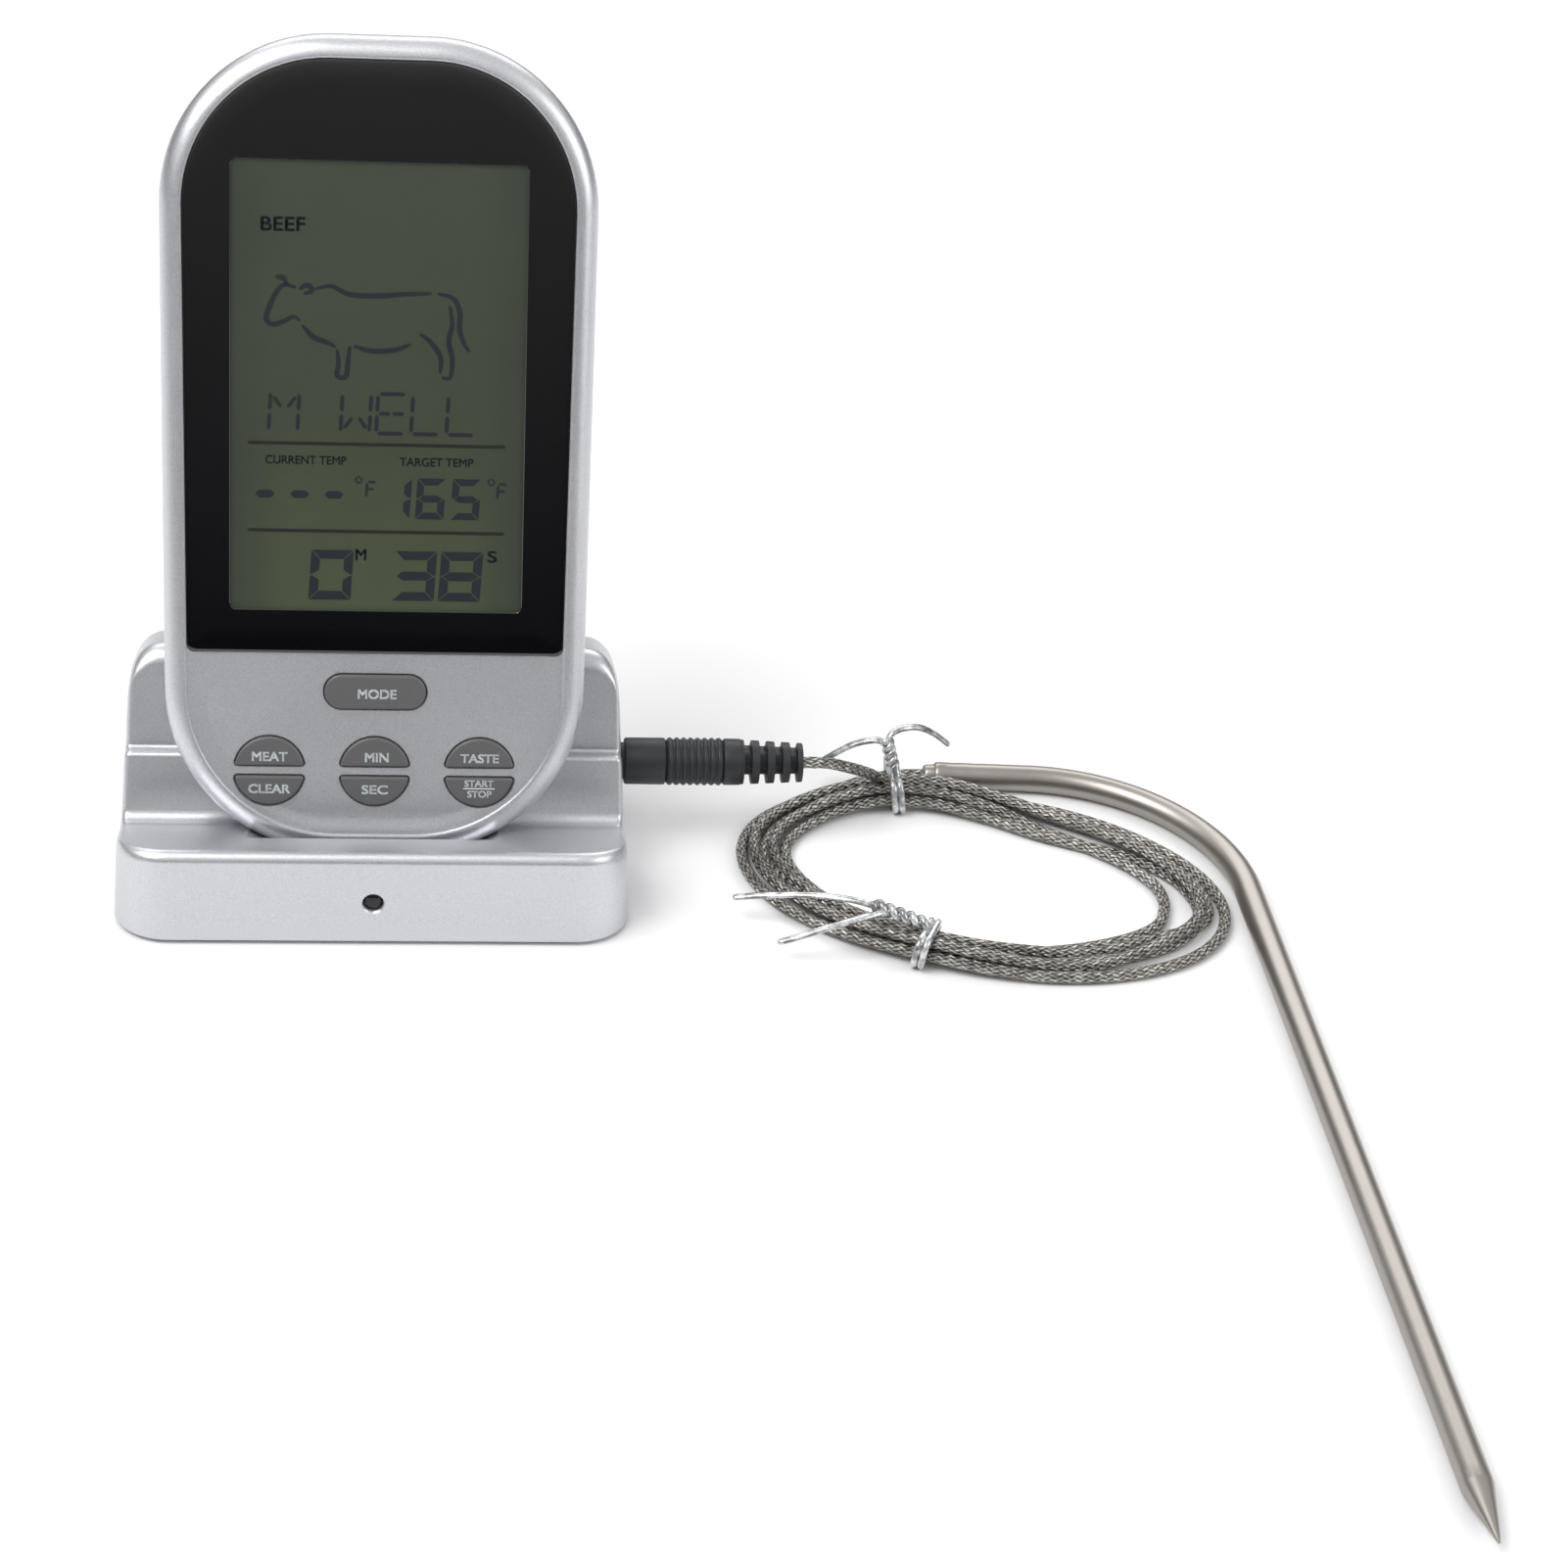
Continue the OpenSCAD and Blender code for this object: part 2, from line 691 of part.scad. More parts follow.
module plug_pin() {
    x0 = plug_face_x - jack_pin_l;
    color("gold") {
        along_jack(x0) cylinder(r1 = 0.9, r2 = jack_r - 0.3, h = 1.4);
        along_jack(x0 + 1.4 - eps) cylinder(r = jack_r - 0.3, h = 0.9);
        along_jack(x0 + 2.3 - 2 * eps) cylinder(r = jack_r, h = jack_pin_l - 2.3 + 2 * eps);
    }
}

module plug_grip() {
    rib_x = plug_face_x + collar_l;
    color([0.08, 0.08, 0.09]) {
        along_jack(plug_face_x) cylinder(r = plug_d / 2 - 0.1, h = collar_l);
        along_jack(rib_x - eps) cylinder(r = plug_d / 2 - 0.6, h = relief_x - rib_x + eps);
        for (i = [0:rib_count - 1]) along_jack(rib_x + 0.4 + i * rib_pitch)
            cylinder(r = plug_d / 2, h = rib_pitch * 0.6);
        along_jack(relief_x - band_l) cylinder(r = plug_d / 2 - 0.15, h = band_l);
    }
}

module plug_strain_relief() {
    slot_rows = 4;
    pitch = (plug_end_x - relief_x) / slot_rows;
    color([0.08, 0.08, 0.09]) difference() {
        along_jack(relief_x) cylinder(r1 = plug_d / 2 - 0.3, r2 = relief_r, h = plug_end_x - relief_x);
        for (i = [0:slot_rows - 1]) for (s = [-1, 1])
            translate([relief_x + (i + 0.35) * pitch, jack_y, jack_z])
                rotate([i % 2 == 0 ? 0 : 90, 0, 0]) translate([0, -5, s * 3.2 - 1])
                    cube([pitch * 0.4, 10, 2]);
    }
}

// Directions and rings of the swept cable tube
function tangent(p, i) = let (a = p[max(i - 1, 0)], b = p[min(i + 1, len(p) - 1)]) (b - a) / norm(b - a);
function ring(c, t, r, n) =
    let (u = cross(t, [0, 0, 1]) / norm(cross(t, [0, 0, 1])), w = cross(u, t))
    [for (k = [0:n - 1]) c + r * (cos(360 * k / n) * u + sin(360 * k / n) * w)];
function smooth(p, i, f) =
    let (a = p[max(i - 1, 0)], b = p[i], c = p[i + 1], d = p[min(i + 2, len(p) - 1)])
    0.5 * (2 * b + (c - a) * f + (2 * a - 5 * b + 4 * c - d) * f * f + (3 * b - a - 3 * c + d) * f * f * f);

module cable_tube(route) {
    sides = 8;
    path = concat([for (i = [0:len(route) - 2]) for (f = [0, 0.5]) smooth(route, i, f)],
                  [route[len(route) - 1]]);
    n = len(path);
    points = [for (i = [0:n - 1]) each ring(path[i], tangent(path, i), cable_d / 2, sides)];
    walls = [for (i = [0:n - 2]) for (k = [0:sides - 1])
        let (m = (k + 1) % sides) [i * sides + k, i * sides + m, (i + 1) * sides + m, (i + 1) * sides + k]];
    ends = [[for (k = [sides - 1:-1:0]) k], [for (k = [0:sides - 1]) (n - 1) * sides + k]];
    color([0.5, 0.5, 0.48]) polyhedron(points, concat(walls, ends));
}

module probe_cable() { cable_tube(cable_route); }

module probe_cable_tail() { cable_tube(tail_route); }

// An oval round the coil's centre
module coil_oval(a, b) {
    translate(coil_c) rotate(coil_turn) polygon([for (k = [0:71]) [a * cos(5 * k), b * sin(5 * k)]]);
}

module probe_cable_coil() {
    color([0.5, 0.5, 0.48]) translate([0, 0, coil_z]) linear_extrude(coil_h) difference() {
        coil_oval(coil_a, coil_b);
        coil_oval(coil_a - coil_band, coil_b - coil_band);
    }
}

// Places children at the start of the probe's bend, with X towards the tube's axis
module at_bend(angle) {
    translate([bend_c[0], bend_c[1], probe_r]) rotate([0, 0, bend_a0 + angle]) children();
}

// The probe's tube as tail, bend and shaft of radius r, kept short of the point by gap.
// The tail is drawn down a little for its crimp.
module probe_tube(r, gap) {
    at_bend(0) {
        rotate_extrude(angle = bend_a1 - bend_a0) translate([probe_bend_r, 0]) circle(r);
        translate([probe_bend_r, 0, 0]) rotate([90, 0, 0])
            cylinder(r = r, h = probe_straight - tip_l - gap);
    }
    at_bend(bend_a1 - bend_a0) translate([probe_bend_r, -0.2, 0]) rotate([-90, 0, 0])
        cylinder(r = r - tail_draw, h = tail_l + 0.2 - gap);
}

// Places children on the shaft's axis at a distance from the point, with +Z towards the point
module at_shaft(from_tip) {
    at_bend(0) translate([probe_bend_r, from_tip - probe_straight, 0]) rotate([90, 0, 0]) children();
}

module probe_stem() {
    color([0.66, 0.64, 0.6]) difference() {
        probe_tube(probe_r, 0);
        probe_tube(probe_r - probe_wall, -1);
    }
}

module probe_tip() {
    color([0.66, 0.64, 0.6]) {
        at_shaft(tip_l) cylinder(r1 = probe_r, r2 = 0.25, h = tip_l);
        at_shaft(tip_l + 3) cylinder(r = probe_r - probe_wall, h = 3 + eps);
    }
}

module temperature_sensor() {
    color("orange") at_shaft(tip_l + 12) cylinder(r = 1.3, h = 8);
}

module probe_ferrule() {
    color([0.6, 0.6, 0.58]) at_bend(bend_a1 - bend_a0) translate([probe_bend_r, tail_l - 4, 0])
        rotate([-90, 0, 0]) cylinder(r = probe_r - probe_wall - tail_draw, h = 4 + ferrule_out);
}

// A wire ring round the coil's band at angle a of its oval, reaching outwards by extra
module tie_ring(a, extra) {
    mid = coil_c + [[cos(coil_turn), -sin(coil_turn)], [sin(coil_turn), cos(coil_turn)]]
        * [(coil_a - coil_band / 2) * cos(a), (coil_b - coil_band / 2) * sin(a)];
    way = atan2((coil_b - coil_band / 2) * cos(a), -(coil_a - coil_band / 2) * sin(a)) + coil_turn;
    w = coil_band + 1.2;
    h = coil_h + 0.2;
    translate([mid[0], mid[1], coil_z - 0.1 + h / 2]) rotate([0, 0, way]) rotate([90, 0, 90])
        translate([-extra / 2, 0, -tie_t / 2]) linear_extrude(tie_t) difference() {
            round_rect(w + extra + 2 * tie_t, h + 2 * tie_t, 2);
            round_rect(w + extra, h, 1);
        }
}

module far_tie() {
    color([0.85, 0.86, 0.88]) {
        tie_ring(120, 3);
        rod([92, 15.5, 6.6], [89.4, 17.5, 11.6], 1);
        wire([[89.7, 17.3, 10.9], [94.5, 20.5, 12.6], [101, 22.5, 7.4]], 0.5);
        wire([[89.7, 17.3, 10.9], [84, 18.5, 9.6], [77.5, 19, 4.6]], 0.5);
    }
}

module near_tie() {
    color([0.85, 0.86, 0.88]) {
        tie_ring(262, 0);
        rod([91.6, -32.8, 7.1], [82.5, -28.5, 8], 1);
        wire([[83.2, -28.9, 7.9], [72, -24.5, 7.2], [60, -21.5, 4]], 0.5);
        wire([[86.5, -30.6, 7.4], [76, -33, 6.9], [67, -33.5, 3.4]], 0.5);
    }
}

dock_housing();
dock_bottom_cover();
dock_battery_door();
dock_cells();
dock_cell_contacts();
dock_circuit_board();
dock_radio_module();
dock_antenna();
status_led();
led_board();
dock_screws();
power_switch_body();
power_switch_knob();
probe_jack();
jack_contacts();
receiver_front_cover();
receiver_rear_cover();
display_lens();
display_glass();
display_backlight();
display_frame();
display_connector();
receiver_circuit_board();
receiver_radio_module();
receiver_antenna();
buzzer();
keypad_membrane();
receiver_cells();
receiver_cell_contacts();
receiver_battery_lid();
receiver_screws();
clip_pin();
clip_spring();
belt_clip();
mode_button();
round_button(-1, 1);  // meat_button
round_button(-1, -1);  // clear_button
round_button(0, 1);  // minute_button
round_button(0, -1);  // second_button
round_button(1, 1);  // taste_button
round_button(1, -1);  // start_stop_button
plug_pin();
plug_grip();
plug_strain_relief();
probe_cable();
probe_cable_coil();
probe_cable_tail();
probe_ferrule();
probe_stem();
probe_tip();
temperature_sensor();
far_tie();
near_tie();
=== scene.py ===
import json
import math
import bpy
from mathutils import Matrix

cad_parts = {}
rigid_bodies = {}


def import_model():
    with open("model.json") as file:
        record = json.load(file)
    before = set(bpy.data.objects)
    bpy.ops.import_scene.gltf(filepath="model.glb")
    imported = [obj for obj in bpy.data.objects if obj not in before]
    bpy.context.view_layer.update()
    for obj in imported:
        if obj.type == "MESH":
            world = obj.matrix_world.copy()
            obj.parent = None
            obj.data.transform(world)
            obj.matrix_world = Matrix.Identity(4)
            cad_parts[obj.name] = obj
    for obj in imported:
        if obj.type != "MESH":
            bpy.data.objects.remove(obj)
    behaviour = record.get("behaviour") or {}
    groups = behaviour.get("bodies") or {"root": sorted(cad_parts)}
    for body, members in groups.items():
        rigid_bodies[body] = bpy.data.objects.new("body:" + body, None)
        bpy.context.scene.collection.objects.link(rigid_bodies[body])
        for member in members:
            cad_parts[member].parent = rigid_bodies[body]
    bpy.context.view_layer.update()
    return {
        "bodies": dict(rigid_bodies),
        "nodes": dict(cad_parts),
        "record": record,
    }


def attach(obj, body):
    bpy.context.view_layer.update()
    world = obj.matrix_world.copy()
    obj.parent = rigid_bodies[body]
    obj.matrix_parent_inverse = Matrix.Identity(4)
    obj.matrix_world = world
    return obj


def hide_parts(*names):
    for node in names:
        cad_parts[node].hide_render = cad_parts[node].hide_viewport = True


bl_info = {
    "name": "Wireless Meat Thermometer",
    "version": (1, 0, 0),
    "blender": (4, 5, 0),
    "location": "View3D > Sidebar > Thermometer",
    "description": "Dresses the meat thermometer's frame: dock, receiver, display, probe lead and studio",
    "category": "Add Mesh",
}

import bmesh
import bpy
import numpy as np
from bpy.props import FloatProperty, FloatVectorProperty, PointerProperty, StringProperty
from mathutils import Matrix, Vector

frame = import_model()

MM = 0.001
LEAN = math.radians(19.25)
SIN, COS, TAN = math.sin(LEAN), math.cos(LEAN), math.tan(LEAN)
FOOT_Y, FOOT_Z = -13.36, 8.03

# Corner arcs as (x, v, radius, first angle, last angle), counter-clockwise
RECEIVER = [(6.3, 28, 28, -90, 0), (8, 106.4, 27, 0, 90), (-8, 106.4, 27, 90, 180), (-6.3, 28, 28, 180, 270)]
LENS = [(29.2, 35.5, 1.4, -90, 0), (8, 106.4, 23.3, 0, 90), (-8, 106.4, 23.3, 90, 180), (-29.2, 35.5, 1.4, 180, 270)]
# The receiver's rounded back as depths behind the parting line and the insets there
BACK_DEPTH = [0.2, 2, 3.5, 5, 7.5, 10, 12.2, 14, 15.4, 16.1, 16.42, 16.5]
BACK_INSET = [0.25, 0.4, 0.8, 1.4, 2.4, 3.6, 5.0, 6.6, 8.3, 9.5, 10.3, 11.2]
SCREWS = [(s * 29, v) for s in (-1, 1) for v in (50, 100)]
INWARDS = (0, COS, -SIN)
# The belt clip's pin, up the face and out of it
CLIP_V, CLIP_OFF = 112, -18.6
BUTTON_ROW, BUTTON_TOP = 14.3, 5.2
INK_LOW, INK_TOP = 4.69, 4.73
# Dock: half its width and depth, its plan's corners, its shoulders' radius and their centre up the face
DOCK_X, DOCK_Y, DOCK_CORNER, SHOULDER_R, SHOULDER_V = 42.4, 30, 9, 7, 25.8
DOCK_FEET = [(x, y) for x in (-37, 37) for y in (-21, 21)]
LED_Z = 8.1

# Probe lead, points in metres
LEAD_ROUTE = [
    (0.0729, 0.0030, 0.0155), (0.0750, 0.0034, 0.0153), (0.0780, 0.0049, 0.0142), (0.0810, 0.0071, 0.0122),
    (0.0840, 0.0097, 0.0098), (0.0865, 0.0119, 0.0076), (0.0890, 0.0138, 0.0056),
]
TAIL_ROUTE = [
    (0.0850, 0.0156, 0.0036), (0.0880, 0.0172, 0.0034), (0.0910, 0.0187, 0.0030), (0.0940, 0.0197, 0.0026),
    (0.0970, 0.0201, 0.0024),
]
COIL_CENTRE, COIL_TURN = (104, -12), math.radians(-18)
COIL_A, COIL_B = 40.0, 24.1
TIE_ANGLES, TIE_WIRE = (120, 262), 0.62
PLUG_Y, PLUG_Z, PLUG_X = 3, 15.5, 42.3
BEND_CENTRE, BEND_R, BEND_START, BEND_END = (113.5, -16.6), 35.8, 1.6, 87
PROBE_R, PROBE_TAIL, PROBE_SHAFT, PROBE_END = 2.4, 16.4, 146.5, 157.5

# Camera: its place in metres, its pitch, turn and roll in degrees, and its focal length
EYE = (0.001138, -0.53014, 0.353807)
PITCH, TURN, ROLL, FOCAL = 32.518, 7.375, 4.564, 84.9


# ---- Settings ----

def colour_property(name, description, default):
    return FloatVectorProperty(name=name, description=description, subtype="COLOR", default=default, min=0, max=1)


class PaintSettings(bpy.types.PropertyGroup):
    silver: colour_property("Silver", "Colour of the satin silver covers", (0.62, 0.63, 0.655))
    silver_roughness: FloatProperty(
        name="Satin", description="Roughness of the silver covers", subtype="FACTOR", default=0.36, min=0, max=1)
    button: colour_property("Buttons", "Colour of the buttons", (0.105, 0.105, 0.108))
    lettering: colour_property("Lettering", "Colour of the words on the buttons", (0.74, 0.79, 0.81))
    rubber: colour_property("Plug rubber", "Colour of the plug's handle", (0.017, 0.019, 0.023))


class DisplaySettings(bpy.types.PropertyGroup):
    glass: colour_property("Display", "Colour of the display's background", (0.029, 0.043, 0.024))
    ink: colour_property("Segments", "Colour of the dark segments", (0.006, 0.010, 0.015))
    target: StringProperty(name="Target", description="Target temperature shown", default="165")
    doneness: StringProperty(name="Doneness", description="Word shown above the first line", default="M WELL")


class LeadSettings(bpy.types.PropertyGroup):
    diameter: FloatProperty(
        name="Cable diameter", description="Diameter of the braided cable", unit="LENGTH", default=0.002,
        min=0.0015, max=0.0025, precision=4)
    length: FloatProperty(
        name="Cable length", description="Length of the braided cable", unit="LENGTH", default=1.05,
        min=0.9, max=1.2)
    spread: FloatProperty(
        name="Looseness", description="How far the turns spread between the ties", default=1.0, min=0, max=1.2)


class StudioSettings(bpy.types.PropertyGroup):
    floor: colour_property("Floor", "Colour of the table", (0.86, 0.86, 0.865))
    key: FloatProperty(
        name="Key light", description="Strength of the large light", unit="POWER", default=9.0, min=0, max=60)
    sky: FloatProperty(name="Room light", description="Strength of the even light", default=0.72, min=0, max=3)


# ---- Geometry ----

def leaned(points):
    """Takes points as (x, v up the face, distance out of the face) in millimetres to the dock's frame: the
    receiver's plane starts at its foot and leans back, so y grows with v sin and falls with distance cos."""
    p = np.asarray(points, float)
    x, v, off = p[..., 0], p[..., 1], p[..., 2]
    return np.stack([x, FOOT_Y + v * SIN - off * COS, FOOT_Z + v * COS + off * SIN], -1)


def straight(points):
    return np.asarray(points, float)


def add(name, data):
    """A new object with this data, linked to the scene."""
    thing = bpy.data.objects.new(name, data)
    bpy.context.scene.collection.objects.link(thing)
    return thing


def rework(mesh, *steps):
    """Passes a mesh through bmesh steps, each a function of the working mesh."""
    work = bmesh.new()
    work.from_mesh(mesh)
    for step in steps:
        step(work)
    work.to_mesh(mesh)
    work.free()


def outward(work):
    bmesh.ops.recalc_face_normals(work, faces=work.faces)


def merge(work, dist=1e-6):
    bmesh.ops.remove_doubles(work, verts=work.verts, dist=dist)


def make(name, points, quads, caps=(), crease=32, uv=None):
    """A mesh from an array of points in millimetres, an array of four-cornered faces and a few flat end faces.
    Its normals are turned outwards and edges sharper than crease degrees stay sharp."""
    points = np.ascontiguousarray(np.asarray(points, np.float32).reshape(-1, 3) * MM)
    quads = np.asarray(quads, np.int32).reshape(-1, 4)
    caps = [np.asarray(c, np.int32) for c in caps]
    corners = np.concatenate([quads.ravel(), *caps])
    sizes = np.concatenate([np.full(len(quads), 4), [len(c) for c in caps]]).astype(np.int32)
    mesh = bpy.data.meshes.new(name)
    mesh.vertices.add(len(points))
    mesh.vertices.foreach_set("co", points.ravel())
    mesh.loops.add(len(corners))
    mesh.loops.foreach_set("vertex_index", corners)
    mesh.polygons.add(len(sizes))
    mesh.polygons.foreach_set("loop_start", np.concatenate([[0], np.cumsum(sizes)[:-1]]).astype(np.int32))
    if uv is not None:
        layer = mesh.uv_layers.new(name="UVMap")
        layer.data.foreach_set("uv", np.asarray(uv, np.float32).ravel())
    mesh.update(calc_edges=True)
    mesh.validate()
    rework(mesh, outward)
    piece = add(name, mesh)
    soften(piece, crease)
    return piece


def soften(piece, crease):
    piece.data.shade_smooth()
    piece.data.set_sharp_from_angle(angle=math.radians(crease))


def loft(name, rings, caps=(True, True), closed=False, uv_scale=None, crease=32):
    """Skins a stack of rings: point k of each ring joins point k of the next, every ring closes on itself and
    the two ends are flat faces. closed joins the last ring to the first. The map runs along, then round."""
    m, n = rings.shape[:2]
    rows = m if closed else m - 1
    i, k = np.meshgrid(np.arange(rows), np.arange(n), indexing="ij")
    i2, k2 = (i + 1) % m, (k + 1) % n
    quads = np.stack([i * n + k, i * n + k2, i2 * n + k2, i2 * n + k], -1).reshape(-1, 4)
    ends = [] if closed else [e for e, on in (
        (np.arange(n)[::-1], caps[0]), ((m - 1) * n + np.arange(n), caps[1])) if on]
    uv = None
    if uv_scale is not None:
        along = np.concatenate([[0], np.cumsum(np.linalg.norm(np.diff(rings.mean(1), axis=0), axis=1))])
        u = along[np.stack([i, i, i2, i2], -1)] * uv_scale
        v = np.stack([k, k + 1, k + 1, k], -1) / n
        uv = np.stack([u, v], -1).reshape(-1, 2)
        uv = np.concatenate([uv, np.zeros((sum(len(e) for e in ends), 2))])
    return make(name, rings, quads, ends, crease, uv)


def outline(arcs, inset=0.0, steps=14):
    """Corner arcs joined by straight sides, all moved inwards by inset. A corner smaller than the inset keeps
    a radius of 0.05 and its centre moves inwards instead."""
    parts = []
    for cx, cv, r, a0, a1 in arcs:
        a = np.radians(np.linspace(a0, a1, steps + 1))
        left = max(r - inset, 0.05)
        short = left - (r - inset)
        sx, sv = np.sign(np.cos(a.mean()).round(3)), np.sign(np.sin(a.mean()).round(3))
        parts.append(np.stack([cx - sx * short + left * np.cos(a), cv - sv * short + left * np.sin(a)], -1))
    return np.concatenate(parts)


def stack(name, arcs, profile, place=leaned, steps=14, crease=32):
    """Rings of one outline: each profile entry is (inset, distance out of the face)."""
    rings = []
    for inset, off in profile:
        flat = outline(arcs, inset, steps)
        rings.append(np.column_stack([flat, np.full(len(flat), off)]))
    return loft(name, place(np.array(rings)), crease=crease)


def corners(x0, x1, v0, v1, r):
    return [(x1 - r, v0 + r, r, -90, 0), (x1 - r, v1 - r, r, 0, 90), (x0 + r, v1 - r, r, 90, 180),
            (x0 + r, v0 + r, r, 180, 270)]


def fillet(corner, radius, steps=5):
    """Rounds the inner corners of open lines. Each corner turns along the circle that touches both of its
    sides, written as a rational curve with the sine of half its angle as weight."""
    p, r = corner[..., 1:-1, :], radius[..., None]
    back, on = corner[..., :-2, :] - p, corner[..., 2:, :] - p
    back, on = back / np.linalg.norm(back, axis=-1, keepdims=True), on / np.linalg.norm(on, axis=-1, keepdims=True)
    half = np.arccos(np.clip((back * on).sum(-1, keepdims=True), -1, 1)) / 2
    reach = r / np.tan(half)
    s = np.linspace(0, 1, steps + 1)[:, None]
    a, b, c = (1 - s) ** 2, 2 * s * (1 - s) * np.sin(half)[..., None, :], s ** 2
    start, middle, end = (p + back * reach)[..., None, :], p[..., None, :], (p + on * reach)[..., None, :]
    curve = (a * start + b * middle + c * end) / (a + b + c)
    curve = curve.reshape(*curve.shape[:-3], -1, 2)
    return np.concatenate([corner[..., :1, :], curve, corner[..., -1:, :]], -2)


def spline(points, step):
    """A Catmull-Rom curve through the points, sampled at even steps of length."""
    p = np.asarray(points, float)
    ext = np.concatenate([[2 * p[0] - p[1]], p, [2 * p[-1] - p[-2]]])
    f = np.linspace(0, 1, 12, endpoint=False)[None, :, None]
    a, b, c, d = (ext[k:len(ext) - 3 + k][:, None, :] for k in range(4))
    curve = 0.5 * (2 * b + (c - a) * f + (2 * a - 5 * b + 4 * c - d) * f ** 2 + (3 * b - a - 3 * c + d) * f ** 3)
    curve = np.concatenate([curve.reshape(-1, p.shape[1]), p[-1:]])
    s = np.concatenate([[0], np.cumsum(np.linalg.norm(np.diff(curve, axis=0), axis=1))])
    even = np.linspace(0, s[-1], max(2, int(round(s[-1] / step)) + 1))
    return np.stack([np.interp(even, s, curve[:, k]) for k in range(p.shape[1])], -1)


def sweep(name, path, radius, sides=10, ref=(0, 0, 1), closed=False, uv_scale=None, squeeze=(1, 1)):
    """A tube round a path: each ring is a circle across the path's direction, set out from ref. radius is one
    number or one for each point, and squeeze flattens the ring."""
    p = np.asarray(path, float)
    t = np.roll(p, -1, 0) - np.roll(p, 1, 0) if closed else np.gradient(p, axis=0)
    t /= np.linalg.norm(t, axis=1, keepdims=True)
    side = np.cross(t, ref)
    side /= np.linalg.norm(side, axis=1, keepdims=True)
    up = np.cross(side, t)
    a = 2 * np.pi * np.arange(sides) / sides
    r = np.broadcast_to(radius, len(p))[:, None, None]
    rings = p[:, None] + r * (squeeze[0] * np.cos(a)[None, :, None] * side[:, None]
                              + squeeze[1] * np.sin(a)[None, :, None] * up[:, None])
    return loft(name, rings, closed=closed, uv_scale=uv_scale, crease=50)


def round_ends(path, radius, n=4):
    """Adds rings at both ends of a path so that the tube closes as a dome."""
    p = np.asarray(path, float)
    d0, d1 = p[0] - p[1], p[-1] - p[-2]
    d0, d1 = d0 / np.linalg.norm(d0), d1 / np.linalg.norm(d1)
    a = np.linspace(0.12, 1, n) * np.pi / 2
    head = p[0] + np.outer(np.sin(a[::-1]), d0) * radius
    tail = p[-1] + np.outer(np.sin(a), d1) * radius
    size = np.concatenate([np.maximum(np.cos(a[::-1]), 0.05), np.ones(len(p)), np.maximum(np.cos(a), 0.05)]) * radius
    return np.concatenate([head, p, tail]), size


def lathe(name, profile, centre, axis=(1, 0, 0), sides=48, shape=None, crease=32):
    """Turns a line of (distance along the axis, radius) round an axis. shape, if given, changes the radii and
    takes the distance, the radius and the angle as arrays."""
    z = np.array(axis, float)
    x = np.cross(z, (0, 1, 0) if abs(z[1]) < 0.9 else (1, 0, 0))
    x /= np.linalg.norm(x)
    y = np.cross(z, x)
    d, r = np.array(profile, float).T
    a = 2 * np.pi * np.arange(sides) / sides
    d, r, a = d[:, None], np.broadcast_to(r[:, None], (len(r), sides)), a[None, :]
    if shape:
        r = shape(d, r, a)
    rings = np.array(centre, float) + d[..., None] * z + (r * np.cos(a))[..., None] * x + (
        r * np.sin(a))[..., None] * y
    return loft(name, rings, crease=crease)


def plates(name, shapes, lo, hi, place=leaned):
    """Thin flat plates: every shape is an array of (x, v) corners, drawn from lo to hi out of the face."""
    points, quads, caps, n0 = [], [], [], 0
    for flat in shapes:
        n = len(flat)
        k = np.arange(n)
        points += [np.column_stack([flat, np.full(n, lo)]), np.column_stack([flat, np.full(n, hi)])]
        quads.append(np.stack([k, (k + 1) % n, (k + 1) % n + n, k + n], -1) + n0)
        caps += [k[::-1] + n0, k + n + n0]
        n0 += 2 * n
    return make(name, place(np.concatenate(points)), np.concatenate(quads), caps)


def settle(piece):
    """Applies what modifiers a piece has."""
    bpy.context.view_layer.update()
    graph = bpy.context.evaluated_depsgraph_get()
    done = bpy.data.meshes.new_from_object(piece.evaluated_get(graph), depsgraph=graph)
    old = piece.data
    piece.modifiers.clear()
    piece.data = done
    done.name = piece.name
    bpy.data.meshes.remove(old)
    return piece


def discard(*pieces):
    for piece in pieces:
        bpy.data.objects.remove(piece)


def combine(piece, tools, operation="DIFFERENCE"):
    """Cuts the tools out of a piece, or adds them to it, and removes the tools."""
    for tool in tools:
        step = piece.modifiers.new("cut", "BOOLEAN")
        step.object, step.operation, step.solver = tool, operation, "EXACT"
    settle(piece)
    discard(*tools)
    if not len(piece.data.polygons):
        raise RuntimeError(f"{piece.name} is empty after its cuts")
    return piece


def join(name, pieces):
    """One object from several closed ones."""
    work = bmesh.new()
    for piece in pieces:
        work.from_mesh(piece.data)
    mesh = bpy.data.meshes.new(name)
    work.to_mesh(mesh)
    work.free()
    discard(*pieces)
    return add(name, mesh)


def clean(piece, crease=32):
    """Merges doubles, drops slivers and lets large flat faces lead the shading."""
    rework(piece.data, lambda work: merge(work, 2e-6),
           lambda work: bmesh.ops.dissolve_degenerate(work, edges=work.edges, dist=1e-6))
    soften(piece, crease)
    weigh = piece.modifiers.new("weigh", "WEIGHTED_NORMAL")
    weigh.keep_sharp, weigh.weight = True, 60
    return settle(piece)


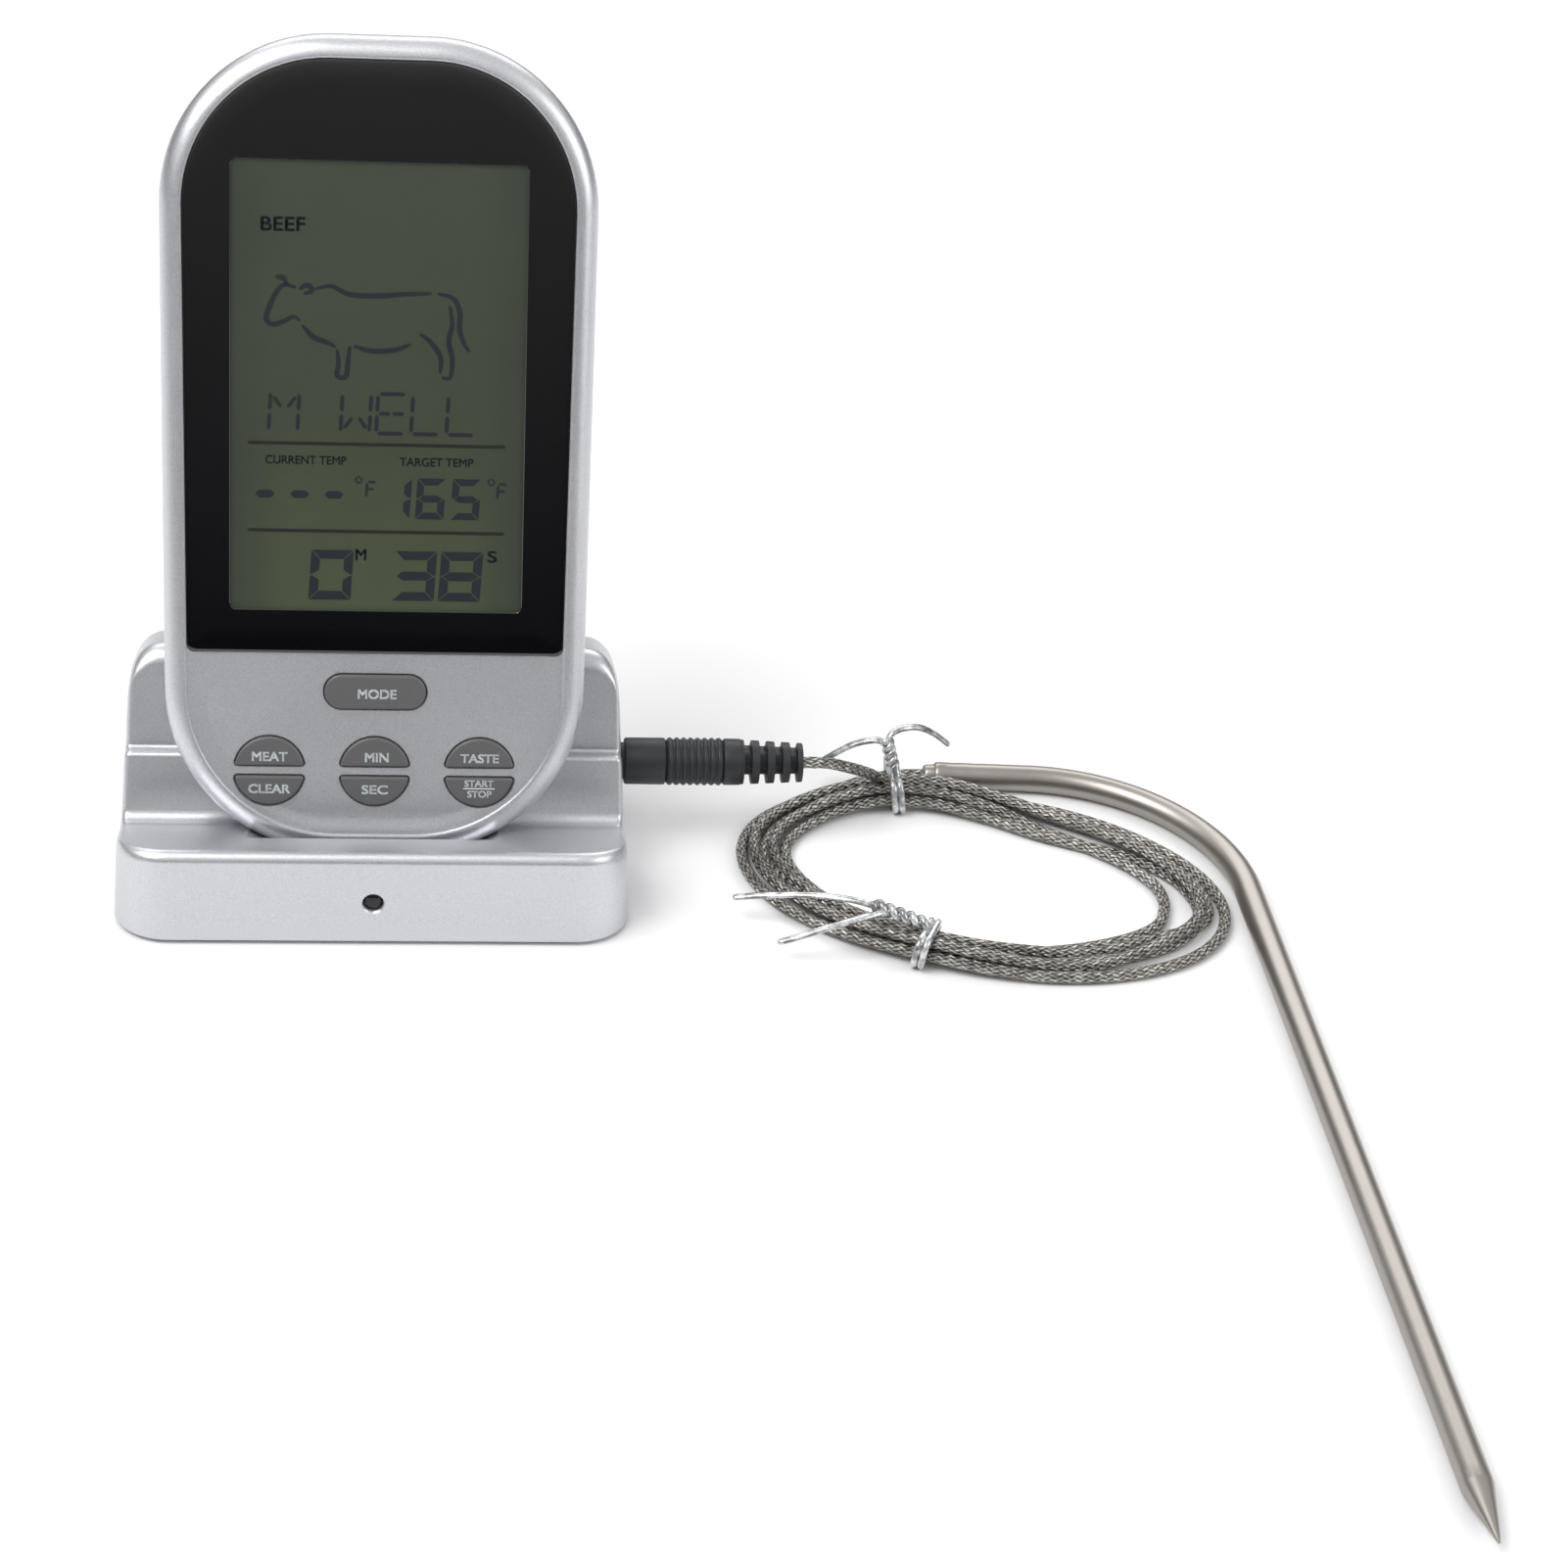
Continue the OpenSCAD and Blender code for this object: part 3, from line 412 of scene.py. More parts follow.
def words(name, text, centre, height, off, width, bold=0.0, depth=0.03):
    """Generic words as thin raised letters: the outline is made a mesh, scaled to its width and capital height
    and laid on the receiver's face. Four copies, each bold away from the middle, thicken the strokes."""
    if bold:
        return join(name, [words("stroke", text, (centre[0] + sx * bold, centre[1] + sv * bold),
                                 height - 2 * bold, off, width - 2 * bold, 0.0, depth)
                           for sx in (-1, 1) for sv in (-1, 1)])
    curve = bpy.data.curves.new(name, "FONT")
    curve.body, curve.extrude, curve.resolution_u = text, 0.02, 4
    letters = add(name, curve)
    bpy.context.view_layer.update()
    graph = bpy.context.evaluated_depsgraph_get()
    mesh = bpy.data.meshes.new_from_object(letters.evaluated_get(graph), depsgraph=graph)
    discard(letters)
    co = np.zeros(len(mesh.vertices) * 3, np.float32)
    mesh.vertices.foreach_get("co", co)
    co = co.reshape(-1, 3).astype(float)
    low, high = co.min(0), co.max(0)
    scale = np.array([width, height, depth]) / (high - low)
    anchor = np.array([(low[0] + high[0]) / 2, (low[1] + high[1]) / 2, low[2]])
    co = (co - anchor) * scale + np.array([centre[0], centre[1], off])
    mesh.vertices.foreach_set("co", (leaned(co) * MM).astype(np.float32).ravel())
    rework(mesh, merge, outward)
    mesh.shade_flat()
    return add(name, mesh)


# ---- Shaders ----

class Wire:
    """One shader socket that sums, scales and compares like a number."""

    def __init__(self, paint, socket):
        self.paint, self.socket = paint, socket

    def _math(self, operation, a, b=0.0):
        return self.paint.node("ShaderNodeMath", {"operation": operation}, {0: a, 1: b})

    def __add__(self, other):
        return self._math("ADD", self, other)

    def __sub__(self, other):
        return self._math("SUBTRACT", self, other)

    def __rsub__(self, other):
        return self._math("SUBTRACT", other, self)

    def __mul__(self, other):
        return self._math("MULTIPLY", self, other)

    def __gt__(self, other):
        return self._math("GREATER_THAN", self, other)

    __radd__, __rmul__ = __add__, __mul__

    def floor(self):
        return self._math("FLOOR", self)

    def fract(self):
        return self._math("FRACT", self)

    def even(self):
        return self._math("MODULO", self, 2.0)

    def sine(self):
        return self._math("SINE", self)

    def size(self):
        return self._math("ABSOLUTE", self)


class Paint:
    """A material being made: its node tree, its shader and its coordinates."""

    def __init__(self, name, **fixed):
        self.material = bpy.data.materials.new(name)
        self.material.use_nodes = True
        self.tree = self.material.node_tree
        self.shader = self.tree.nodes["Principled BSDF"]
        for key, value in fixed.items():
            self.shader.inputs[key.replace("_", " ")].default_value = (
                (*value, 1.0) if isinstance(value, tuple) and len(value) == 3 else value)

    def node(self, kind, settings=None, inputs=None, out=0):
        """Adds a node: its settings first, then the value or link of each socket. stops are a ramp's."""
        node = self.tree.nodes.new(kind)
        for key, value in (settings or {}).items():
            if key == "stops":
                ramp = node.color_ramp.elements
                while len(ramp) < len(value):
                    ramp.new(0.5)
                for stop, (place, colour) in zip(ramp, value):
                    stop.position, stop.color = place, (*colour, 1.0)
            else:
                setattr(node, key, value)
        for key, value in (inputs or {}).items():
            if isinstance(value, Wire):
                self.tree.links.new(value.socket, node.inputs[key])
            elif isinstance(value, tuple) and len(value) == 3 and len(node.inputs[key].default_value) == 4:
                node.inputs[key].default_value = (*value, 1.0)
            else:
                node.inputs[key].default_value = value
        return Wire(self, node.outputs[out])

    def place(self, scale=(1, 1, 1), turn=(0, 0, 0), shift=(0, 0, 0), mapped=False):
        where = self.node("ShaderNodeTexCoord", out="UV" if mapped else "Object")
        return self.node("ShaderNodeMapping", None,
                         {"Vector": where, "Scale": scale, "Rotation": turn, "Location": shift})

    def noise(self, scale, detail=2.0, rough=0.5, where=None):
        return self.node("ShaderNodeTexNoise", None, {
            "Vector": where or self.place(), "Scale": scale, "Detail": detail, "Roughness": rough}, out="Fac")

    def axis(self, where, name):
        return self.node("ShaderNodeSeparateXYZ", None, {0: where}, out=name)

    def blend(self, factor, a, b):
        return self.node("ShaderNodeMix", {"data_type": "RGBA"}, {0: factor, 6: a, 7: b}, out=2)

    def between(self, value, low, high, first=0.0, last=1.0):
        return self.node("ShaderNodeMapRange", {"interpolation_type": "SMOOTHSTEP"}, {
            "Value": value, "From Min": low, "From Max": high, "To Min": first, "To Max": last})

    def tint(self, factor, colour, low, high):
        """The base colour runs between two shades of one colour."""
        self.feed(Base_Color=self.blend(factor, shade(colour, low), shade(colour, high)))

    def bump(self, height, distance, strength=1.0):
        self.feed(Normal=self.node("ShaderNodeBump", None, {
            "Height": height, "Distance": distance, "Strength": strength}))

    def feed(self, **links):
        for key, value in links.items():
            self.tree.links.new(value.socket, self.shader.inputs[key.replace("_", " ")])


def shade(colour, by):
    return tuple(min(1.0, c * by) for c in colour)


def silver_paint(name, colour, rough):
    """Satin silver: fine flakes in colour and bump, and slow cloudiness in the roughness."""
    paint = Paint(name, Metallic=0.85)
    flake = paint.between(paint.noise(4200, 3, 0.7), 0.3, 0.7)
    cloud = paint.noise(38, 3, 0.5)
    paint.tint(flake * 0.8 + cloud * 0.2, colour, 0.86, 1.12)
    paint.feed(Roughness=rough + (cloud - 0.5) * 0.1 + (flake - 0.5) * 0.08)
    paint.bump(flake, 0.00003, 0.3)
    return paint.material


def moulded(name, colour, rough=0.5, grain=2600, depth=0.00003, spread=0.12, **fixed):
    """Moulded plastic or rubber: eroded grain in the bump, dust in the roughness and a slow drift of colour."""
    paint = Paint(name, **fixed)
    fine = paint.noise(grain, 3, 0.6)
    slow = paint.noise(45, 2, 0.5)
    wear = paint.between(paint.noise(420, 4, 0.65), 0.52, 0.72)
    paint.tint(slow * 0.6 + wear * 0.4, colour, 1 - spread, 1 + spread)
    paint.feed(Roughness=rough + (slow - 0.5) * 0.08 + wear * 0.06)
    paint.bump(fine, depth, 0.6)
    return paint.material


def drawn_metal(name, colour, rough=0.25, along=(40, 2600, 2600), depth=0.000015, mapped=False):
    """Drawn or brushed metal: noise stretched along the grain in colour, roughness and bump."""
    paint = Paint(name, Metallic=1.0)
    streak = paint.noise(1.0, 3, 0.6, paint.place(along, mapped=mapped))
    stain = paint.noise(60, 3, 0.6)
    paint.tint(streak * 0.6 + stain * 0.4, colour, 0.84, 1.14)
    paint.feed(Roughness=rough + (streak - 0.5) * 0.14 + (stain - 0.5) * 0.08)
    paint.bump(streak, depth, 0.5)
    return paint.material


def braided(name):
    """Braided steel: two families of diagonal strands, one on top of the other by turns. A strand's height is
    a half sine across it, and fine wires run along it. Its base colour is painted light: painted highlights on
    the strands' crowns and fine wires, and painted shade in the gaps between strands and on the strand underneath."""
    paint = Paint(name, Metallic=0.93)
    where = paint.place(mapped=True)
    u, v = paint.axis(where, "X"), paint.axis(where, "Y")
    right, left = v * 8.0 + u + 400.0, v * 8.0 - u + 3000.0
    top = (right.floor() + left.floor()).even() > 0.5
    height = top * (right.fract() * math.pi).sine() + (1 - top) * (left.fract() * math.pi).sine()
    wires = top * (right * 25.2).sine() + (1 - top) * (left * 25.2).sine()
    # tone is random tone in colour and roughness, and in the colour it also sets how bright the painted highlights
    # come
    tone = paint.between(paint.noise(900, 3, 0.7), 0.35, 0.65)
    # level is painted light: strand crowns, fine wires and the strand on top lighter, the gaps between strands darker
    # as painted shade
    level = height * 0.66 + tone * 0.26 + wires * 0.06 + top * 0.06
    # The ramp runs from painted shade in the gaps, near black, to a painted highlight on the crowns, near white
    paint.feed(
        Base_Color=paint.node("ShaderNodeValToRGB", {"stops": [
            (0.15, (0.03, 0.027, 0.024)), (0.5, (0.17, 0.158, 0.143)), (0.78, (0.42, 0.40, 0.37)),
            (0.98, (0.88, 0.87, 0.84))]}, {0: level}),
        Roughness=0.42 - height * 0.14 + tone * 0.08)
    paint.bump(height + wires * 0.09, 0.00028, 1.0)
    return paint.material


def display_glass(name, colour):
    """The display's ground: greener and lighter towards its lower middle and darker towards the edges, where the
    darkening is painted shade from the window's border, with a faint fine grain, under a clear polished pane."""
    paint = Paint(name, IOR=1.5, Coat_Roughness=0.03, Coat_Weight=1.0)
    where = paint.place()
    x, z = paint.axis(where, "X"), paint.axis(where, "Z")
    # edge and low paint shade on the ground: it darkens towards its sides and its top and stays lightest in the lower
    # middle
    edge = paint.between(x.size(), 0.013, 0.0245, 1, 0)
    low = paint.between(z, 0.045, 0.085, 1, 0.35)
    mist = paint.noise(70, 3, 0.6)
    paint.feed(
        Base_Color=paint.blend(edge * low * 0.8 + mist * 0.25, shade(colour, 0.66),
                               (colour[0] * 1.55, colour[1] * 1.42, colour[2] * 1.12)),
        Roughness=0.5 + mist * 0.1)
    paint.bump(paint.noise(3800, 1, 0.5), 0.00001, 0.2)
    return paint.material


def gloss_black(name, colour, rough=0.05, coat=1.0):
    """Polished black panel: depth of colour drifts a little and the polish carries faint wipe marks."""
    paint = Paint(name, IOR=1.5, Coat_Weight=coat, Coat_Roughness=0.02)
    haze = paint.noise(55, 4, 0.6)
    wipe = paint.noise(1.0, 3, 0.7, paint.place((900, 60, 90), (0, 0.5, 0.2)))
    paint.tint(haze, colour, 0.7, 1.3)
    paint.feed(Roughness=rough + haze * 0.03 + wipe * 0.02)
    paint.bump(wipe, 0.000004, 0.15)
    return paint.material


def circuit(name):
    """Green solder mask over copper tracks: a grid of rounded lines chosen by cell noise, with pads."""
    paint = Paint(name, IOR=1.5, Coat_Weight=0.4, Coat_Roughness=0.15)
    cells = paint.node("ShaderNodeTexVoronoi", {"distance": "CHEBYCHEV", "feature": "DISTANCE_TO_EDGE"},
                       {"Vector": paint.place(), "Scale": 420.0}, out="Distance")
    track = paint.between(cells, 0.03, 0.07, 1, 0)
    pads = paint.between(paint.node("ShaderNodeTexVoronoi", None, {
        "Vector": paint.place(), "Scale": 300.0, "Randomness": 0.6}, out="Distance"), 0.14, 0.18, 1, 0)
    mask = paint.blend(track, (0.008, 0.075, 0.028), (0.02, 0.16, 0.06))
    paint.feed(Base_Color=paint.blend(pads, mask, (0.55, 0.53, 0.47)), Roughness=0.42 - pads * 0.15,
               Metallic=pads * 0.8)
    paint.bump(track * 0.5 + pads, 0.00006, 0.5)
    return paint.material


def cell_wrap(name):
    """A battery's printed sleeve: a copper band towards one end, a pale stripe and a dark body."""
    paint = Paint(name, IOR=1.45, Coat_Weight=0.5, Coat_Roughness=0.1)
    x = paint.axis(paint.place(), "X")
    band = paint.between(x, 0.0115, 0.0120)
    line = paint.between(x, 0.0096, 0.0098) * paint.between(x, 0.0104, 0.0106, 1, 0)
    body = paint.blend(band, (0.012, 0.014, 0.02), (0.56, 0.29, 0.12))
    paint.feed(Base_Color=paint.blend(line, body, (0.8, 0.8, 0.78)), Metallic=band * 0.8,
               Roughness=0.3 + paint.noise(700, 3) * 0.12)
    paint.bump(paint.noise(1800, 2), 0.00001, 0.3)
    return paint.material


def table_top(name, colour):
    """The pale table: almost even, with a very slow drift."""
    paint = Paint(name, Specular_IOR_Level=0.25)
    drift = paint.noise(3, 2)
    paint.tint(drift, colour, 0.99, 1.01)
    paint.feed(Roughness=0.55 + drift * 0.1)
    return paint.material


def tie_plastic(name):
    """Clear plastic cord with its silver core showing through: bright, glossy, with slow streaks."""
    paint = Paint(name, Metallic=0.55, IOR=1.5, Coat_Weight=1.0, Coat_Roughness=0.04)
    streak = paint.between(paint.noise(520, 3, 0.6), 0.35, 0.62)
    paint.feed(Base_Color=paint.blend(streak, (0.2, 0.205, 0.21), (0.66, 0.67, 0.68)),
               Roughness=0.12 + streak * 0.16)
    paint.bump(streak, 0.00006, 0.3)
    return paint.material


MATERIALS = {}


def materials():
    """Every finish once, by the name of the material slot it fills."""
    if MATERIALS:
        return MATERIALS
    look = bpy.context.scene.thermometer_paint
    screen = bpy.context.scene.thermometer_display
    silver, ink = tuple(look.silver), tuple(screen.ink)
    MATERIALS.update({
        "silver_plastic": silver_paint("silver_plastic", silver, look.silver_roughness),
        "grey_plastic": moulded("grey_plastic", (0.33, 0.335, 0.345), 0.5, Metallic=0.25),
        "black_gloss": gloss_black("black_gloss", (0.006, 0.005, 0.006), 0.08, 0.0),
        "lens": gloss_black("lens", (0.0035, 0.0036, 0.0045)),
        "display_glass": display_glass("display_glass", tuple(screen.glass)),
        "display_ink": gloss_black("display_ink", ink, 0.4),
        "display_rule": gloss_black("display_rule", (0.006, 0.006, 0.005), 0.4),
        "white_plastic": moulded("white_plastic", (0.78, 0.79, 0.78), 0.4, 1800, 0.00002, 0.05),
        "black_plastic": moulded("black_plastic", (0.02, 0.02, 0.022), 0.45),
        "circuit_board": circuit("circuit_board"),
        "shield": drawn_metal("shield", (0.62, 0.62, 0.6), 0.3),
        "brass": drawn_metal("brass", (0.78, 0.57, 0.25), 0.28),
        "contact_steel": drawn_metal("contact_steel", (0.66, 0.66, 0.65), 0.25),
        "cell_wrap": cell_wrap("cell_wrap"),
        "keypad_rubber": moulded("keypad_rubber", (0.5, 0.5, 0.47), 0.6, 1500),
        "connector_rubber": moulded("connector_rubber", (0.55, 0.2, 0.26), 0.6, 1500),
        "button_grey": moulded("button_grey", tuple(look.button), 0.42, 2400, 0.00002, 0.06),
        "lettering": moulded("lettering", tuple(look.lettering), 0.5, 3000, 0.00001, 0.04),
        "plug_rubber": moulded("plug_rubber", tuple(look.rubber), 0.48, 2100, 0.00004, 0.25),
        "plug_metal": drawn_metal("plug_metal", (0.8, 0.62, 0.33), 0.2),
        "braid": braided("braid"),
        "probe_steel": drawn_metal("probe_steel", (0.37, 0.345, 0.318), 0.38, (0.35, 90, 1), 0.00001, True),
        "tie_wire": tie_plastic("tie_wire"),
        "screw_steel": drawn_metal("screw_steel", (0.42, 0.42, 0.43), 0.32, (2600, 2600, 40)),
        "spring_steel": drawn_metal("spring_steel", (0.58, 0.58, 0.6), 0.25),
    })
    return MATERIALS


def dress(piece, body, slot, *replaced, finish=None):
    """Gives a new piece its finish, the body that it moves with and the CAD nodes that it stands for."""
    piece.data.materials.clear()
    piece.data.materials.append(materials()[finish or slot])
    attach(piece, body)
    if replaced:
        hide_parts(*replaced)
    return piece


# ---- Receiver pieces ----

def back_profile(grow=0.0):
    """The rounded back as (inset, distance out of the face), grown all round."""
    return [(i - grow, -d - grow) for d, i in zip(BACK_DEPTH, BACK_INSET)]


def half_round(cx, cv, side, r=5.75, split=1.75, corner=0.45):
    """Arcs of the upper or lower half of a round button: its chord lies half a split from the centre, and a
    small arc joins the chord to the circle."""
    h = split / 2 + corner
    reach = math.sqrt((r - corner) ** 2 - h * h)
    a = math.degrees(math.atan2(h, reach))
    turn = 0 if side > 0 else 180
    s = 1 if side > 0 else -1
    return [(cx + s * reach, cv + s * h, corner, turn - 90, turn + a),
            (cx, cv, r, turn + a, turn + 180 - a),
            (cx - s * reach, cv + s * h, corner, turn + 180 - a, turn + 270)]


def half_button(x, side):
    return half_round(x, BUTTON_ROW, side), [(x, BUTTON_ROW + 3 * side)]


# Outline, places of the stems behind, word, its middle, its capitals' height and its width
BUTTONS = {
    "meat_button": (*half_button(-17.2, 1), "MEAT", (-17.15, 16.75), 1.55, 5.8),
    "clear_button": (*half_button(-17.2, -1), "CLEAR", (-17.2, 11.3), 1.55, 6.8),
    "minute_button": (*half_button(0, 1), "MIN", (0.35, 16.75), 1.55, 3.9),
    "second_button": (*half_button(0, -1), "SEC", (0.05, 11.3), 1.55, 4.3),
    "taste_button": (*half_button(17.2, 1), "TASTE", (17.25, 16.75), 1.5, 6.3),
    "start_stop_button": (*half_button(17.2, -1), None, (17.2, 11.5), 1.3, 4.8),
    "mode_button": (corners(-8.3, 8.3, 24.85, 30.55, 2.85), [(-4, 27.7), (4, 27.7)], "MODE", (0.3, 27.4), 1.6, 6.3),
}


class THERMOMETER_OT_receiver_front(bpy.types.Operator):
    """Front cover: a rounded rim, a fine crease and a shallow dished face with its window and button holes"""
    bl_idname = "thermometer.receiver_front"
    bl_label = "Receiver front cover"

    def execute(self, context):
        inner = [(5.2, 2.6), (3.3, 2.6), (2.2, 1.9), (1.8, 1.0), (1.8, 0.0)]
        side = [(0.12, 0.0), (0.0, 0.12), (0.0, 1.2), (0.0, 2.2), (0.06, 2.8), (0.22, 3.35), (0.5, 3.9),
                (0.9, 4.4), (1.4, 4.85), (2.0, 5.2), (2.6, 5.4), (3.1, 5.47), (3.34, 5.46), (3.5, 5.4),
                (3.6, 5.28)]
        dish = [(3.64, 5.02), (3.74, 4.98)]
        for t in np.linspace(0.1, 1, 9):
            dish.append((3.74 + 3.3 * t, 4.6 + 0.38 * (0.5 + 0.5 * math.cos(math.pi * t))))
        cover = stack("receiver_front", RECEIVER, inner + side + dish, steps=20)
        tools = [stack("window", corners(-24.6, 24.6, 40.3, 114.7, 1.4), [(0, 0), (0, 9)]),
                 stack("seat", LENS, [(-0.06, 3.85), (-0.06, 9)], steps=20)]
        tools += [stack("hole", button[0], [(-0.14, 1), (-0.14, 4.42), (-0.22, 4.55), (-0.38, 4.66), (-0.38, 8)])
                  for button in BUTTONS.values()]
        combine(cover, tools)
        dress(clean(cover, 28), "receiver", "silver_plastic", "receiver_front_cover")
        return {"FINISHED"}


class THERMOMETER_OT_receiver_back(bpy.types.Operator):
    """Rear cover: a rounded back with its battery opening, screw wells and the belt clip's two lugs"""
    bl_idname = "thermometer.receiver_back"
    bl_label = "Receiver rear cover"

    def execute(self, context):
        cover = stack("receiver_back", RECEIVER, back_profile(), steps=20)
        inside = [(1.9, 1.0)] + [(i + 1.75, -d + min(1.8, d - 0.2)) for d, i in zip(BACK_DEPTH, BACK_INSET)]
        cavity = stack("cavity", RECEIVER, inside, steps=20)
        posts = [lathe("post", [(0, 2.6), (9, 2.6)], leaned((x, v, -4)), INWARDS) for x, v in SCREWS]
        combine(cavity, posts)
        wells = [lathe("well", [(-1, 1.15), (5.5, 1.15), (5.5, 2.2), (16, 2.2)], leaned((x, v, -4)), INWARDS)
                 for x, v in SCREWS]
        lid = stack("opening", corners(-24.15, 24.15, 36.85, 62.75, 1.0), [(0, -20), (0, -13)])
        combine(cover, [cavity, lid, *wells])
        clean(cover, 28)
        flat = np.concatenate([outline([(0, 0, 2.2, 180, 360)], steps=16), [(2.2, 2.6), (-2.2, 2.6)]])
        lugs = [loft("lug", np.array([
            leaned(np.column_stack([np.full(len(flat), s * 7 + x), flat * shrink + (CLIP_V, CLIP_OFF)]))
            for x, shrink in ((-1, 0.88), (-0.85, 1), (0.85, 1), (1, 0.88))])) for s in (-1, 1)]
        dress(join("receiver_back_cover", [cover, *lugs]), "receiver", "silver_plastic", "receiver_rear_cover")
        return {"FINISHED"}


class THERMOMETER_OT_lens(bpy.types.Operator):
    """Black window: a polished panel with a pillowed edge round the display's opening"""
    bl_idname = "thermometer.lens"
    bl_label = "Display window"

    def execute(self, context):
        edge = [(0.0, 3.95), (0.0, 4.82), (0.03, 4.9), (0.1, 4.96), (0.25, 5.0), (0.5, 5.03), (1.2, 5.06),
                (2.4, 5.085), (4.0, 5.1)]
        lens = stack("display_window", LENS, edge, steps=24)
        hole = stack("hole", corners(-23.6, 23.6, 41.3, 113.7, 1.0), [(0, 3), (0, 4.98), (-0.1, 5.08), (-0.1, 7)])
        combine(lens, [hole])
        dress(clean(lens, 30), "receiver", "lens", "display_lens")
        return {"FINISHED"}


def bar(p, q, t):
    """A pointed segment between two points: a long hexagon of thickness t."""
    p, q = np.array(p, float), np.array(q, float)
    d = (q - p) / np.linalg.norm(q - p)
    n = np.array([-d[1], d[0]]) * t / 2
    return np.array([p, p + d * t / 2 + n, q - d * t / 2 + n, q, q - d * t / 2 - n, p + d * t / 2 - n])


SEVEN = {"0": "abcdef", "1": "bc", "3": "abgcd", "5": "afgcd", "6": "afgedc", "8": "abcdefg"}


def digit(char, x, v, w, h, t, g=0.12, slant=0.06):
    """The seven-segment figure of a digit, whose lower left corner is (x, v). Outer segments are mitred."""
    m = h / 2
    shapes = {
        "a": [(g, h), (w - g, h), (w - t - g, h - t), (t + g, h - t)],
        "d": [(g, 0), (t + g, t), (w - t - g, t), (w - g, 0)],
        "f": [(0, h - g), (t, h - t - g), (t, m + t / 2 + g), (t / 4, m + g), (0, m + g)],
        "e": [(0, g), (0, m - g), (t / 4, m - g), (t, m - t / 2 - g), (t, t + g)],
        "b": [(w, h - g), (w, m + g), (w - t / 4, m + g), (w - t, m + t / 2 + g), (w - t, h - t - g)],
        "c": [(w, g), (w - t, t + g), (w - t, m - t / 2 - g), (w - t / 4, m - g), (w, m - g)],
        "g": [(g + t / 4, m), (t + g / 2, m + t / 2), (w - t - g / 2, m + t / 2), (w - g - t / 4, m),
              (w - t - g / 2, m - t / 2), (t + g / 2, m - t / 2)],
    }
    found = []
    for key in SEVEN.get(char, ""):
        flat = np.array(shapes[key], float)
        found.append(np.column_stack([flat[:, 0] + flat[:, 1] * slant + x, flat[:, 1] + v]))
    return found


def letter(char, x, v, w=4.6, h=6.4, t=0.62, slant=0.05):
    """A starburst letter from pointed bars."""
    g, m = 0.22, h / 2
    up = {"l": [((0, m + g), (0, h - g))], "L": [((0, g), (0, m - g))], "r": [((w, m + g), (w, h - g))],
          "R": [((w, g), (w, m - g))], "t": [((g, h), (w - g, h))], "b": [((g, 0), (w - g, 0))],
          "m": [((g, m), (w / 2 - g / 2, m)), ((w / 2 + g / 2, m), (w - g, m))],
          "v": [((0.5, h - 0.7), (w / 2 - 0.5, m + 0.7)), ((w / 2 + 0.5, m + 0.7), (w - 0.5, h - 0.7))],
          "n": [((0.5, 0.7), (w / 2 - 0.5, m - 0.7)), ((w / 2 + 0.5, m - 0.7), (w - 0.5, 0.7))]}
    parts = {"M": "lLrRv", "W": "lLrRn", "E": "lLtmb", "L": "lLb", " ": ""}[char]
    found = []
    for part in parts:
        for p, q in up[part]:
            flat = bar(p, q, t)
            found.append(np.column_stack([flat[:, 0] + flat[:, 1] * slant + x, flat[:, 1] + v]))
    return found


def stroke(points, width):
    """A drawn line of soft width along a curve, thin at both ends."""
    path = spline(points, 0.35)
    d = np.gradient(path, axis=0)
    d /= np.linalg.norm(d, axis=1, keepdims=True)
    n = np.stack([-d[:, 1], d[:, 0]], -1)
    s = np.linspace(0, 1, len(path))[:, None]
    half = width / 2 * (0.45 + 0.55 * np.sin(np.pi * s) ** 0.6)
    return np.concatenate([path + n * half, (path - n * half)[::-1]])


# The steer on the display, a plain line drawing that faces left: curves as (x, v) points
STEER = [
    [(-13.2, 93.6), (-15.2, 93.9), (-16.4, 92.6), (-17.6, 89.9), (-17.9, 88.4), (-16.9, 87.6), (-15.2, 88.1),
     (-13.6, 88.9), (-12.6, 88.3)],
    [(-14.6, 94.0), (-15.3, 95.1), (-16.5, 95.2)],
    [(-12.7, 93.3), (-11.5, 94.0), (-10.6, 93.1), (-12.0, 92.6)],
    [(-10.2, 93.4), (-7.6, 93.9), (-4.8, 92.7), (-0.6, 92.5), (4.0, 92.9), (8.4, 93.1)],
    [(9.4, 93.1), (11.8, 92.4), (12.9, 90.2), (12.9, 87.4), (13.8, 84.9), (14.6, 83.9)],
    [(11.3, 91.2), (11.7, 88.2), (11.2, 85.6), (11.8, 82.6), (11.5, 79.7), (10.1, 79.6)],
    [(9.9, 80.3), (9.9, 82.9), (8.4, 85.2), (6.6, 86.6)],
    [(-12.2, 87.6), (-10.4, 85.7), (-8.2, 84.9), (-6.9, 84.2)],
    [(-6.6, 83.8), (-6.4, 81.4), (-6.6, 79.6), (-5.2, 79.5), (-4.9, 81.8), (-4.6, 84.4)],
    [(-4.0, 84.4), (-1.2, 83.7), (2.4, 83.9), (5.2, 84.9)],
]


